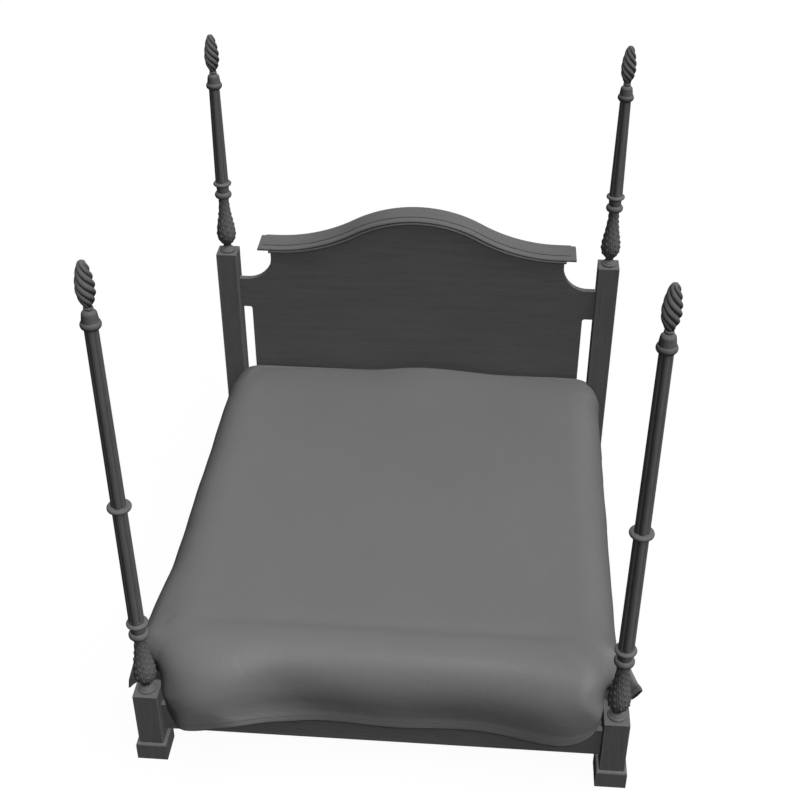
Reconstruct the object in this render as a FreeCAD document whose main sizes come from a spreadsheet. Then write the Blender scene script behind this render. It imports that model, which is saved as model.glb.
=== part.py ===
"""A carved four-poster bed with an arched headboard, made up with a mattress and a coverlet.

The bed stands on the floor at height zero. The origin is the middle of the four posts, the foot of
the bed is towards -Y, the headboard towards +Y, and the left side is towards -X. All lengths are
millimetres and all of them are named in the sheet.
"""
import FreeCAD, Part
import math
import os
import re

import Sketcher

Vector = FreeCAD.Vector

# Driving sizes: name, value, meaning.
SIZES = [
    ("post_span_across", "1910", "between the post centres, side to side"),
    ("post_span_along", "2145", "between the post centres, head to foot"),
    ("overrun", "5", "how far a cut runs past the face that it opens"),
    ("seat_gap", "0.3", "clearance round a round tenon, and between curved faces that seat"),
    ("tenon_gap", "0.2", "clearance round a square tenon"),
    ("plinth_side", "127.8", "square plinth under each post"),
    ("plinth_height", "89", "height of the plinth"),
    ("plinth_round", "10", "rounded moulding on the top edge of the plinth"),
    ("plinth_foot_edge", "2", "chamfer where the plinth meets the floor"),
    ("block_side", "102.5", "square block of each post"),
    ("block_edge", "1.5", "eased upright edges of the block"),
    ("foot_block_top", "358", "top of the square block on the foot posts"),
    ("head_block_top", "1233.5", "top of the square block on the head posts"),
    ("spigot_radius", "14.7", "round tenon below a block and below a vase"),
    ("spigot_length", "45", "length of that tenon"),
    ("dowel_radius", "10", "round tenon of a shaft"),
    ("dowel_length", "40", "length of that tenon in a vase or an upper shaft"),
    ("cap_dowel_length", "26", "length of the tenon in the post cap"),
    ("bore_rest", "2", "how much deeper a bore is than its tenon"),
    ("vase_height", "390", "turned vase with its two rings"),
    ("vase_bead_radius", "39", "bead that the vase stands on"),
    ("vase_bead_height", "17.5", "height of that bead"),
    ("vase_cove_radius", "27.5", "where the cove above the bead starts"),
    ("vase_neck_radius", "19", "narrowest place of the vase"),
    ("vase_neck_height", "31", "height of that place"),
    ("vase_swell_radius", "36", "where the cup turns from hollow to round"),
    ("vase_swell_height", "61", "height of that turn"),
    ("vase_belly_radius", "50.2", "widest place of the vase"),
    ("vase_belly_height", "98", "height of that place"),
    ("vase_flank_radius", "37.5", "where the flank turns from round to hollow"),
    ("vase_flank_height", "196", "height of that turn"),
    ("vase_stem_radius", "24.2", "stem under the lower ring"),
    ("lower_ring_radius", "41", "lower ring of the vase"),
    ("lower_ring_height", "312", "middle of the lower ring above the block"),
    ("lower_ring_half", "16", "half the height of the lower ring"),
    ("ring_neck_radius", "30", "neck between the two rings"),
    ("upper_ring_radius", "44", "upper ring of the vase"),
    ("upper_ring_height", "371", "middle of the upper ring above the block"),
    ("upper_ring_half", "9.5", "half the height of the upper ring"),
    ("shaft_foot_radius", "32.5", "crest radius of the fluted shaft at its bottom"),
    ("shaft_head_radius", "26", "crest radius of the fluted shaft at its top"),
    ("shaft_top", "2088", "top of the fluted shaft"),
    ("mid_ring_height", "1317", "middle of the ring on the foot posts' shafts"),
    ("mid_ring_radius", "46.5", "outside of that ring"),
    ("mid_ring_half", "9", "half its height"),
    ("cap_ring_radius", "37.2", "round moulding of the post cap"),
    ("cap_ring_height", "16", "its middle above the shaft"),
    ("cap_drum_radius", "31", "foot of the cap's tapering drum"),
    ("cap_drum_foot", "31", "height of the drum's foot above the shaft"),
    ("cap_drum_top_radius", "27.5", "top of the drum"),
    ("cap_drum_top", "58", "height of the drum's top above the shaft"),
    ("cap_height", "72", "whole height of the post cap"),
    ("finial_neck_radius", "11", "neck of the finial, and the seat on the cap"),
    ("finial_neck_height", "3", "height of the neck"),
    ("collar_radius", "17.5", "disc under the flame"),
    ("collar_height", "10", "height of the disc"),
    ("finial_pin_radius", "5", "pin that the finial lifts off with"),
    ("finial_pin_length", "34", "length of the pin"),
    ("pin_gap", "0.08", "running clearance round the pin"),
    ("flame_radius", "34.7", "widest place of the carved flame"),
    ("flame_height", "173", "height of the carved flame"),
    ("panel_thickness", "31", "headboard panel"),
    ("ear_length", "55.75", "from the panel's side edge to the post"),
    ("ear_bottom", "921", "underside of the ears that reach the posts"),
    ("ear_top", "1083", "top of the ears"),
    ("ear_fillet", "12", "inner corner between the panel's edge and the ear"),
    ("scoop_radius", "125", "hollow quarter round between the ear and the head of the panel"),
    ("ear_ledge", "42.75", "level top of the ear, between the post and the hollow"),
    ("tenon_thickness", "14", "square tenons of the rails and ears"),
    ("tenon_length", "40", "their length"),
    ("tenon_shoulder", "15", "shoulder above and below a tenon"),
    ("tongue_thickness", "12", "tongue of the panel in the head rail"),
    ("tongue_height", "12", "how far the tongue goes down"),
    ("tongue_inset", "20", "how far the tongue stops short of the panel's edges"),
    ("arch_peak", "1477.5", "top of the arched cap rail"),
    ("arch_shoulder", "1295", "top of its level ends"),
    ("arch_end", "31", "level stretch between the arch and the panel's side edge"),
    ("arch_crown_radius", "660", "rounded crown of the arch"),
    ("rail_cap_end_reach", "56", "how far the cap rail reaches past the panel's side edges"),
    ("rail_cap_front_reach", "54.5", "how far it reaches past the panel's front"),
    ("rail_cap_back_reach", "56.5", "how far it reaches past the panel's back"),
    ("rail_cap_thickness", "20", "thickness of the cap rail"),
    ("rail_cap_step", "4", "raised field on top of the cap rail"),
    ("rail_cap_step_inset", "35", "how far the raised field stops behind the front edge"),
    ("rail_cap_end_inset", "25", "how far it stops short of the ends"),
    ("bead_height", "13", "bead of the moulding under the cap rail"),
    ("bead_drop", "43", "top of the bead below the top of the cap rail"),
    ("bead_reach", "11", "how far the bead stands out from the panel"),
    ("frieze_reach", "4", "how far the band above the bead stands out"),
    ("rail_bottom", "139", "underside of the rails"),
    ("rail_height", "140", "height of the rails"),
    ("rail_thickness", "25", "thickness of the rails"),
    ("side_rail_inset", "27.5", "middle of a side rail, inwards from the middle of the posts"),
    ("rail_end_gap", "0.5", "clearance between a side rail's end and the post"),
    ("fitting_width", "20", "steel hook plates and slot plates"),
    ("fitting_height", "110", "their height"),
    ("fitting_thickness", "3", "their thickness"),
    ("hook_thickness", "4", "hook of the hook plate"),
    ("hook_height", "24", "height of a hook"),
    ("hook_drop", "7", "how far the hook's lip hangs behind the slot plate"),
    ("hook_lip", "6", "thickness of the lip"),
    ("hook_spacing", "56", "between the two hooks"),
    ("pocket_depth", "16", "pocket in the post behind the slot plate"),
    ("cleat_width", "30", "cleat that carries the slats"),
    ("cleat_height", "22", "height of the cleat"),
    ("cleat_rise", "1", "underside of the cleat above the underside of the rail"),
    ("cleat_inset", "40", "how far a cleat stops short of the posts"),
    ("slat_thickness", "18", "slats"),
    ("slat_width", "110", "width of a slat"),
    ("slat_margin", "122.5", "middle of the last slat, inwards from the mattress's end"),
    ("slat_end_gap", "1", "clearance between a slat's end and the side rail"),
    ("beam_width", "50", "centre beam"),
    ("beam_height", "40", "height of the centre beam"),
    ("bracket_thickness", "3", "steel seat of the centre beam"),
    ("bracket_reach", "45", "how far the seat runs under the beam"),
    ("bracket_rise", "80", "how far its back plate stands above the beam's underside"),
    ("leg_radius", "20", "legs under the centre beam"),
    ("leg_foot_radius", "26", "foot of such a leg"),
    ("leg_foot_height", "8", "height of that foot"),
    ("leg_margin", "345", "middle of the last leg, inwards from the mattress's end"),
    ("bedding_side_gap", "15", "between the mattress and a side rail"),
    ("bedding_end_gap", "12", "between the mattress and the headboard panel"),
    ("base_height", "180", "upholstered base under the mattress"),
    ("base_round", "15", "rounded edges of the base"),
    ("mattress_height", "202", "mattress"),
    ("mattress_round", "40", "rounded edges of the mattress"),
    ("mattress_corner", "60", "rounded upright corners of the mattress and base"),
    ("cover_thickness", "28", "coverlet on top of the mattress"),
    ("cover_low", "185", "lowest point of the coverlet's hem"),
    ("cover_side_reach", "45", "how far the side drop hangs out from the side rail at the hem"),
    ("cover_foot_reach", "49", "how far the foot drop hangs out from the foot rail at the hem"),
    ("cover_head_gap", "1", "between the coverlet's head end and the panel"),
    ("cover_fold", "12", "depth of the folds in the side drops"),
    ("cover_flare", "74", "how far the corner of the side drop flares out"),
    ("cover_flare_gap", "17.25", "between that corner and the foot post's block"),
    ("cover_corner", "60", "rounded corners of the coverlet"),
    ("cover_hang", "36", "space between the side drop and the mattress"),
    ("cover_hang_drop", "107", "top of that space below the top of the mattress"),
    ("side_hem", "255", "hem of the side drops"),
    ("side_hem_wave", "12", "rise and fall of that hem"),
]
SLAT_COUNT = 10
LEG_COUNT = 3
SHAFT_LOBES = 5
FLAME_STRANDS = 5
FLAME_TURN = 370
FLAME_SECTIONS = 36
SIDE_FOLDS = 8
FOOT_FOLDS = 6

# Groove radius of a fluted shaft, as a share of its crest radius.
SHAFT_GROOVE_SHARE = 0.823
# Groove radius of the flame, as a share of its crest radius.
FLAME_GROOVE_SHARE = 0.77
# Flame outline: height along the flame, radius against its widest place.
FLAME_SHARES = [
    (0.0, 0.40), (0.05, 0.53), (0.16, 0.79), (0.28, 0.95), (0.42, 1.0), (0.54, 0.96),
    (0.65, 0.88), (0.76, 0.77), (0.87, 0.62), (0.955, 0.45), (1.0, 0.2),
]
# Coverlet levels from the hem up: height, side, foot, head, depth of the folds,
# flare of the left corner, flare of the right corner.
COVER_SHARES = [
    (0.0, 1.0, 1.0, 1.0, 1.0, 0.80, 0.60),
    (0.2, 0.997, 1.0, 1.0, 1.0, 1.0, 0.75),
    (0.358, 0.990, 0.999, 1.0, 0.8, 0.85, 0.95),
    (0.642, 0.981, 0.998, 1.0, 0.4, 0.35, 1.06),
    (0.765, 0.975, 0.989, 0.998, 0.2, 0.12, 0.6),
    (0.877, 0.947, 0.976, 0.992, 0.1, 0.04, 0.2),
    (0.946, 0.914, 0.960, 0.985, 0.05, 0.02, 0.05),
    (0.983, 0.863, 0.950, 0.972, 0.03, 0.0, 0.0),
    (1.0, 0.792, 0.920, 0.95, 0.02, 0.0, 0.0),
]
# Hem of the foot drop: place across between the posts, height between the lowest point and the top.
FOOT_HEM_SHARES = [
    (-1.06, 0.42), (-0.975, 0.30), (-0.945, 0.10), (-0.84, 0.0), (-0.70, 0.05), (-0.58, 0.16),
    (-0.2, 0.205), (0.1, 0.185), (0.4, 0.19), (0.65, 0.12), (0.82, 0.09), (0.91, 0.22),
    (0.99, 0.50), (1.06, 0.60),
]

# Places and sizes that follow from the driving sizes.
PLACES = {
    "post_face": "block_side / 2",
    "post_inside": "post_span_across / 2 - post_face",
    "post_line": "post_span_along / 2 - post_face",
    "rail_top": "rail_bottom + rail_height",
    "side_rail_line": "post_span_across / 2 - side_rail_inset",
    "side_rail_inner": "side_rail_line - rail_thickness / 2",
    "side_rail_outer": "side_rail_line + rail_thickness / 2",
    "side_rail_end": "post_line - rail_end_gap",
    "end_rail_inner": "post_span_along / 2 - rail_thickness / 2",
    "end_rail_outer": "post_span_along / 2 + rail_thickness / 2",
    "fitting_middle": "rail_bottom + rail_height / 2",
    "slat_seat": "rail_bottom + cleat_rise + cleat_height",
    "slat_top": "slat_seat + slat_thickness",
    "base_top": "slat_top + base_height",
    "mattress_top": "base_top + mattress_height",
    "beam_foot": "slat_seat - beam_height",
    "panel_front": "post_span_along / 2 - panel_thickness / 2",
    "panel_back": "post_span_along / 2 + panel_thickness / 2",
    "panel_half_width": "post_inside - ear_length",
    "neck_half_width": "post_inside - ear_ledge - scoop_radius",
    "arch_half_width": "neck_half_width - arch_end",
    "rail_cap_half_length": "neck_half_width + rail_cap_end_reach",
    "rail_cap_front": "panel_front - rail_cap_front_reach",
    "rail_cap_back": "panel_back + rail_cap_back_reach",
    "bedding_width": "2 * (side_rail_inner - bedding_side_gap)",
    "bedding_length": "2 * (panel_front - bedding_end_gap)",
    "slat_pitch": "(bedding_length - 2 * slat_margin) / %d" % (SLAT_COUNT - 1),
    "leg_pitch": "(bedding_length - 2 * leg_margin) / %d" % (LEG_COUNT - 1),
    "cover_top": "mattress_top + cover_thickness",
    "cover_half_width": "side_rail_outer + cover_side_reach",
    "cover_foot": "end_rail_outer + cover_foot_reach",
    "cover_head": "panel_front - cover_head_gap",
    "cover_flare_line": "post_line - cover_flare_gap",
    "cover_hang_top": "mattress_top - cover_hang_drop",
}

CORNERS = [
    ("foot_left", -1, -1), ("foot_right", 1, -1), ("head_left", -1, 1), ("head_right", 1, 1),
]
SIDES = [("left", -1), ("right", 1)]

doc = FreeCAD.newDocument("CarvedBed")
sheet = doc.addObject("Spreadsheet::Sheet", "Sizes")
for row, (alias, value, meaning) in enumerate(SIZES, start=1):
    sheet.set("A%d" % row, alias)
    sheet.set("B%d" % row, value)
    sheet.setAlias("B%d" % row, alias)
    sheet.set("C%d" % row, meaning)
doc.recompute()
ALIASES = {alias for alias, value, meaning in SIZES}
nodes = {}


def bound(formula):
    """The formula with each place worked out and each named size written as a cell of the sheet."""
    def cell(word):
        name = word.group(0)
        if name in PLACES:
            return "(%s)" % bound(PLACES[name])
        return "Sizes." + name if name in ALIASES else name
    return re.sub(r"[a-z][a-z_]*", cell, formula)


def amount(formula):
    """The number that a formula of named sizes comes to."""
    result = sheet.evalExpression(bound(formula))
    return float(getattr(result, "Value", result))


def bind(obj, prop, formula):
    obj.setExpression(prop, bound(formula))


def keep(name, obj):
    """Make an object of the document a sub-part under its own name."""
    obj.Label = name
    nodes[name] = obj
    return obj


def span(side, near, far):
    """Low and high end of a stretch from near to far on one side, +1 or -1, of the middle."""
    if side > 0:
        return (near, far)
    return ("-(%s)" % far, "-(%s)" % near)


def about(half):
    """A stretch with the same length on both sides of the middle."""
    return ("-(%s)" % half, half)


def new_body(name, across="0", along="0"):
    body = doc.addObject("PartDesign::Body", name)
    bind(body, "Placement.Base.x", across)
    bind(body, "Placement.Base.y", along)
    return keep(name, body)


def block(body, name, x_span, y_span, z_span, cut=False):
    """Add or cut a rectangular block between the ends of three stretches."""
    kind = "PartDesign::SubtractiveBox" if cut else "PartDesign::AdditiveBox"
    feature = body.newObject(kind, body.Name + "_" + name)
    for prop, axis, (low, high) in zip(("Length", "Width", "Height"), "xyz", (x_span, y_span, z_span)):
        bind(feature, prop, "(%s) - (%s)" % (high, low))
        bind(feature, "Placement.Base." + axis, low)
    return feature


def rod(body, name, radius, z_span, cut=False, across="0", along="0"):
    """Add or cut an upright cylinder."""
    kind = "PartDesign::SubtractiveCylinder" if cut else "PartDesign::AdditiveCylinder"
    feature = body.newObject(kind, body.Name + "_" + name)
    low, high = z_span
    bind(feature, "Radius", radius)
    bind(feature, "Height", "(%s) - (%s)" % (high, low))
    bind(feature, "Placement.Base.x", across)
    bind(feature, "Placement.Base.y", along)
    bind(feature, "Placement.Base.z", low)
    return feature


def rounded(body, name, picks, size, kind="PartDesign::Fillet"):
    """Round or chamfer the edges of the body's last feature that a test on the edge picks."""
    doc.recompute()
    base = body.Tip
    chosen = []
    for number, edge in enumerate(base.Shape.Edges, start=1):
        if picks(edge):
            chosen.append("Edge%d" % number)
    feature = body.newObject(kind, body.Name + "_" + name)
    feature.Base = (base, chosen)
    bind(feature, "Radius" if kind.endswith("Fillet") else "Size", size)
    return feature


def sketch(body, name, role, outline, lift="0"):
    """A closed outline on one of the body's planes, lifted along the plane's normal.

    The outline starts at its first point. Each later entry is the end of a line, or the middle
    and the end of an arc. Every point is a pair of formulas of named sizes.
    """
    drawing = body.newObject("Sketcher::SketchObject", body.Name + "_" + name)
    plane = [part for part in body.Origin.OriginFeatures if part.Role == role][0]
    drawing.AttachmentSupport = [(plane, "")]
    drawing.MapMode = "FlatFace"
    bind(drawing, "AttachmentOffset.Base.z", lift)

    def place(point):
        return Vector(amount(point[0]), amount(point[1]), 0)

    def pin_down(geometry, end, point):
        for kind, formula in zip(("DistanceX", "DistanceY"), point):
            number = drawing.addConstraint(
                Sketcher.Constraint(kind, -1, 1, geometry, end, amount(formula)))
            drawing.setExpression("Constraints[%d]" % number, bound(formula))

    start = outline[0]
    here = start
    pieces = []
    closed = outline[-1][-1] == start
    for entry in outline[1:] + ([] if closed else [start]):
        through = entry[0] if isinstance(entry[0], tuple) else None
        target = entry[1] if through else entry
        if through:
            curve = Part.Arc(place(here), place(through), place(target))
            pieces.append((drawing.addGeometry(curve), target, through))
        else:
            pieces.append((drawing.addGeometry(Part.LineSegment(place(here), place(target))), target, None))
        here = target
    for index, (geometry, target, through) in enumerate(pieces):
        following = pieces[(index + 1) % len(pieces)][0]
        # An arc's own start and end run against the clock, so its ends are matched by place.
        own_end = 2 if drawing.getPoint(geometry, 2).distanceToPoint(place(target)) < drawing.getPoint(
            geometry, 1).distanceToPoint(place(target)) else 1
        next_start = 1 if drawing.getPoint(following, 1).distanceToPoint(place(target)) < drawing.getPoint(
            following, 2).distanceToPoint(place(target)) else 2
        drawing.addConstraint(Sketcher.Constraint("Coincident", geometry, own_end, following, next_start))
        pin_down(geometry, own_end, target)
        if through:
            guide = drawing.addGeometry(Part.Point(place(through)), True)
            pin_down(guide, 1, through)
            drawing.addConstraint(Sketcher.Constraint("PointOnObject", guide, 1, geometry))
    return drawing


def turned(name, outline, across, along):
    """A turned piece: an outline of radius and height, revolved about the post's axis."""
    body = new_body(name, across, along)
    profile = sketch(body, "profile", "XZ_Plane", outline)
    feature = body.newObject("PartDesign::Revolution", name + "_turned")
    feature.Profile = profile
    feature.ReferenceAxis = (profile, ["V_Axis"])
    return body


def slab(body, name, outline, y_span):
    """Pad an outline of x and z between two places along the bed."""
    low, high = y_span
    profile = sketch(body, name + "_outline", "XZ_Plane", outline, "-(%s)" % high)
    feature = body.newObject("PartDesign::Pad", body.Name + "_" + name)
    feature.Profile = profile
    bind(feature, "Length", "(%s) - (%s)" % (high, low))
    return feature


def corner_place(side, end):
    return ("%d * post_span_across / 2" % side, "%d * post_span_along / 2" % end)


def block_top_of(end):
    return "foot_block_top" if end < 0 else "head_block_top"


def upright(edge):
    low, high = edge.Vertexes[0].Point, edge.Vertexes[-1].Point
    return abs(low.x - high.x) + abs(low.y - high.y) < amount("seat_gap") and low.z != high.z


def at_height(edge, formula):
    level = amount(formula)
    return all(abs(vertex.Z - level) < amount("seat_gap") for vertex in edge.Vertexes)


def make_plinth(name, side, end):
    body = new_body(name + "_plinth", *corner_place(side, end))
    half = about("plinth_side / 2")
    block(body, "stock", half, half, ("0", "plinth_height"))
    rounded(body, "moulding", lambda edge: at_height(edge, "plinth_height"), "plinth_round")
    rounded(body, "foot", lambda edge: at_height(edge, "0"), "plinth_foot_edge",
            "PartDesign::Chamfer")
    rod(body, "bore", "spigot_radius + seat_gap",
        ("plinth_height - spigot_length - bore_rest", "plinth_height + overrun"), cut=True)


def mortise(body, name, side, half_thickness, low, high):
    """A mortise in the face of a post block that looks to the middle of the bed."""
    block(body, name,
          span(-side, "post_face - tenon_length - bore_rest", "post_face + overrun"),
          about(half_thickness + " + tenon_gap"),
          ("%s + tenon_shoulder - tenon_gap" % low, "%s - tenon_shoulder + tenon_gap" % high), cut=True)


def make_post_block(name, side, end):
    body = new_body(name + "_block", *corner_place(side, end))
    top = block_top_of(end)
    half = about("post_face")
    block(body, "stock", half, half, ("plinth_height", top))
    rounded(body, "edges", upright, "block_edge", "PartDesign::Chamfer")
    rod(body, "spigot", "spigot_radius", ("plinth_height - spigot_length", "plinth_height"))
    rod(body, "bore", "spigot_radius + seat_gap",
        (top + " - spigot_length - bore_rest", top + " + overrun"), cut=True)
    mortise(body, "rail_mortise", side, "tenon_thickness / 2", "rail_bottom", "rail_top")
    if end > 0:
        mortise(body, "ear_mortise", side, "tenon_thickness / 2", "ear_bottom", "ear_top")
    # The side rail hooks into a slot plate let into the face along the bed.
    line = "side_rail_inset"
    for part, half_width, half_height, depth in (
            ("plate_seat", "fitting_width / 2 + tenon_gap", "fitting_height / 2 + tenon_gap",
             "fitting_thickness"),
            ("hook_pocket", "hook_thickness", "hook_spacing / 2 + hook_height", "pocket_depth")):
        block(body, part,
              span(-side, "%s - (%s)" % (line, half_width), "%s + %s" % (line, half_width)),
              span(-end, "post_face - " + depth, "post_face + overrun"),
              ("fitting_middle - (%s)" % half_height, "fitting_middle + " + half_height),
              cut=True)


def make_vase(name, side, end):
    """The turned vase: bead, cove, cup, long hollow flank, stem and two rings."""
    base = block_top_of(end)

    def point(radius, height):
        return (radius, "%s + %s" % (base, height))

    bead_core = "vase_bead_radius - vase_bead_height / 2"
    lower_core = "lower_ring_radius - lower_ring_half"
    upper_core = "upper_ring_radius - upper_ring_half"
    lower_end = "lower_ring_height + lower_ring_half * 0.94"
    bore = "dowel_radius + seat_gap"
    outline = [
        point("0", "0 - spigot_length"),
        point("spigot_radius", "0 - spigot_length"),
        point("spigot_radius", "0"),
        point(bead_core, "0"),
        (point("vase_bead_radius", "vase_bead_height / 2"), point(bead_core, "vase_bead_height")),
        point("vase_cove_radius", "vase_bead_height"),
        (point("vase_neck_radius * 0.88 + vase_cove_radius * 0.12",
               "vase_bead_height * 0.58 + vase_neck_height * 0.42"),
         point("vase_neck_radius", "vase_neck_height")),
        (point("vase_neck_radius * 0.65 + vase_swell_radius * 0.35",
               "(vase_neck_height + vase_swell_height) / 2"),
         point("vase_swell_radius", "vase_swell_height")),
        (point("vase_swell_radius * 0.3 + vase_belly_radius * 0.7",
               "vase_swell_height * 0.6 + vase_belly_height * 0.4"),
         point("vase_belly_radius", "vase_belly_height")),
        (point("vase_belly_radius * 0.75 + vase_flank_radius * 0.25",
               "(vase_belly_height + vase_flank_height) / 2"),
         point("vase_flank_radius", "vase_flank_height")),
        (point("vase_flank_radius * 0.29 + vase_stem_radius * 0.71",
               "(vase_flank_height + lower_ring_height - lower_ring_half) / 2"),
         point("vase_stem_radius", "lower_ring_height - lower_ring_half")),
        point(lower_core, "lower_ring_height - lower_ring_half"),
        (point("lower_ring_radius", "lower_ring_height"),
         point(lower_core + " + lower_ring_half * 0.34", lower_end)),
        (point("ring_neck_radius",
               "(%s + upper_ring_height - upper_ring_half) / 2" % lower_end),
         point("ring_neck_radius * 1.06", "upper_ring_height - upper_ring_half")),
        point(upper_core, "upper_ring_height - upper_ring_half"),
        (point("upper_ring_radius", "upper_ring_height"),
         point(upper_core, "upper_ring_height + upper_ring_half")),
        point("shaft_foot_radius", "vase_height"),
        point(bore, "vase_height"),
        point(bore, "vase_height - dowel_length - bore_rest"),
        point("0", "vase_height - dowel_length - bore_rest"),
    ]
    turned(name + "_vase", outline, *corner_place(side, end))


def lobed(lobes, groove_share, turn=0.0):
    """Grooves and crests of a lobed section, as pairs of shares of the crest radius and angles."""
    step = 360.0 / lobes
    section = []
    for number in range(lobes):
        crest = turn + number * step - 90
        section.append(((groove_share, crest - step / 2), (1.0, crest)))
    return section


def lobed_outline(radius):
    """The section of a fluted shaft: five round lobes with a groove between each two."""
    def point(share, angle):
        return ("(%s) * %.5f" % (radius, share * math.cos(math.radians(angle))),
                "(%s) * %.5f" % (radius, share * math.sin(math.radians(angle))))

    section = lobed(SHAFT_LOBES, SHAFT_GROOVE_SHARE)
    grooves = [point(*groove) for groove, crest in section]
    crests = [point(*crest) for groove, crest in section]
    outline = [grooves[0]]
    for number in range(SHAFT_LOBES - 1):
        outline.append((crests[number], grooves[number + 1]))
    return outline, crests[-1]


def make_shaft(name, side, end, low, high, vase_top, lower_bore=False, upper_dowel="cap_dowel_length"):
    """A stretch of the tapering fluted shaft, with a round tenon at its ends or a bore below."""
    body = new_body(name, *corner_place(side, end))
    taper = "(shaft_foot_radius - shaft_head_radius) / (shaft_top - (%s))" % vase_top
    sections = []
    for part, level in (("foot", low), ("head", high)):
        radius = "shaft_foot_radius - %s * (%s - (%s))" % (taper, level, vase_top)
        outline, last_crest = lobed_outline(radius)
        outline.append((last_crest, outline[0]))
        sections.append(sketch(body, part, "XY_Plane", outline, level))
    feature = body.newObject("PartDesign::AdditiveLoft", name + "_fluted")
    feature.Profile = sections[0]
    feature.Sections = [sections[1]]
    feature.Ruled = True
    rod(body, "upper_tenon", "dowel_radius", (high, "%s + %s" % (high, upper_dowel)))
    if lower_bore:
        rod(body, "bore", "dowel_radius + seat_gap",
            ("%s - overrun" % low, "%s + dowel_length + bore_rest" % low), cut=True)
    else:
        rod(body, "lower_tenon", "dowel_radius", ("%s - dowel_length" % low, low))


def make_mid_ring(name, side, end):
    core = "mid_ring_radius - mid_ring_half"
    bore = "dowel_radius + seat_gap"
    outline = [
        (bore, "mid_ring_height - mid_ring_half"),
        (core, "mid_ring_height - mid_ring_half"),
        (("mid_ring_radius", "mid_ring_height"), (core, "mid_ring_height + mid_ring_half")),
        (bore, "mid_ring_height + mid_ring_half"),
    ]
    turned(name + "_mid_ring", outline, *corner_place(side, end))


def make_post_cap(name, side, end):
    """The turned cap: a round moulding, a tapering drum and a domed top with the pin's bore."""
    def point(radius, height):
        return (radius, "shaft_top + " + height)

    bore = "dowel_radius + seat_gap"
    pin_bore = "finial_pin_radius + pin_gap"
    outline = [
        point(bore, "0"),
        point("shaft_head_radius", "0"),
        point("cap_drum_radius", "cap_ring_height * 0.25"),
        (point("cap_ring_radius", "cap_ring_height"), point("cap_drum_radius", "cap_drum_foot")),
        point("cap_drum_top_radius", "cap_drum_top"),
        (point("cap_drum_top_radius * 0.75 + finial_neck_radius * 0.25",
               "cap_drum_top * 0.35 + cap_height * 0.65"),
         point("finial_neck_radius", "cap_height")),
        point(pin_bore, "cap_height"),
        point(pin_bore, "cap_height - finial_pin_length - bore_rest"),
        point("0", "cap_height - finial_pin_length - bore_rest"),
        point("0", "cap_dowel_length + bore_rest"),
        point(bore, "cap_dowel_length + bore_rest"),
    ]
    turned(name + "_post_cap", outline, *corner_place(side, end))


def make_finial(name, side, end):
    """The carved flame: five strands twisted round a swelling core, on a collar and a pin.

    The section at each level has round strands with a groove between each two. Towards the tip it
    turns with the clock as seen from above, in step with its height. The levels are spaced evenly
    along the flame's outline, so close that a strand turns by less than half its width between two.
    """
    seat = amount("shaft_top + cap_height")
    collar_foot = seat + amount("finial_neck_height")
    flame_foot = collar_foot + amount("collar_height")
    swell = Part.BSplineCurve()
    swell.interpolate([Vector(height, radius, 0) for height, radius in FLAME_SHARES])
    stride = (swell.LastParameter - swell.FirstParameter) / (FLAME_SECTIONS - 1)
    sections = []
    for number in range(FLAME_SECTIONS):
        run = swell.FirstParameter + number * stride
        height_share, radius_share, flat = swell.value(run)
        radius = amount("flame_radius") * radius_share
        level = flame_foot + amount("flame_height") * height_share
        points = []
        for groove, crest in lobed(FLAME_STRANDS, FLAME_GROOVE_SHARE, -FLAME_TURN * height_share):
            for share, angle in (groove, crest):
                points.append(Vector(radius * share * math.cos(math.radians(angle)),
                                     radius * share * math.sin(math.radians(angle)), level))
        points.append(points[0])
        arcs = [Part.Arc(*points[first:first + 3]).toShape() for first in range(0, 2 * FLAME_STRANDS, 2)]
        sections.append(Part.Wire(arcs))
    flame = Part.makeLoft(sections, True, False)
    pin = Part.makeCylinder(amount("finial_pin_radius"), amount("finial_pin_length"),
                            Vector(0, 0, seat - amount("finial_pin_length")))
    neck = Part.makeCylinder(amount("finial_neck_radius"), amount("finial_neck_height"), Vector(0, 0, seat))
    collar = Part.makeCylinder(amount("collar_radius"), amount("collar_height"), Vector(0, 0, collar_foot))
    collar = collar.makeFillet(amount("collar_height") * 0.4, collar.Edges[0:1] + collar.Edges[2:3])
    feature = doc.addObject("Part::Feature", name + "_finial")
    feature.Shape = pin.multiFuse([neck, collar, flame]).removeSplitter()
    across, along = corner_place(side, end)
    feature.Placement.Base = Vector(amount(across), amount(along), 0)
    keep(name + "_finial", feature)


# The arch: a round crown between two hollow flanks that end level.
ARCH_RISE = "(arch_peak - arch_shoulder)"
ARCH_RADII = "((arch_half_width * arch_half_width + %s * %s) / (2 * %s))" % (ARCH_RISE, ARCH_RISE, ARCH_RISE)
ARCH_FLANK = "(%s - arch_crown_radius)" % ARCH_RADII
ARCH_ANGLE = "asin(arch_half_width / %s)" % ARCH_RADII


def arch(drop, half_width):
    """The arch from left to right at a depth below its top, with level ends out to half_width."""
    crown = "(arch_crown_radius - (%s))" % drop
    flank = "(%s + %s)" % (ARCH_FLANK, drop)
    level = "arch_shoulder - (%s)" % drop
    turn = ("%s * sin(%s)" % (crown, ARCH_ANGLE),
            "arch_peak - arch_crown_radius + %s * cos(%s)" % (crown, ARCH_ANGLE))
    bend = ("arch_half_width - %s * sin(%s / 2)" % (flank, ARCH_ANGLE),
            "arch_shoulder + %s - %s * cos(%s / 2)" % (ARCH_FLANK, flank, ARCH_ANGLE))

    def left(point):
        return ("-(%s)" % point[0], point[1])

    return [
        left((half_width, level)),
        left(("arch_half_width", level)),
        (left(bend), left(turn)),
        (("0", "arch_peak - (%s)" % drop), turn),
        (bend, ("arch_half_width", level)),
        (half_width, level),
    ]


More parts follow.
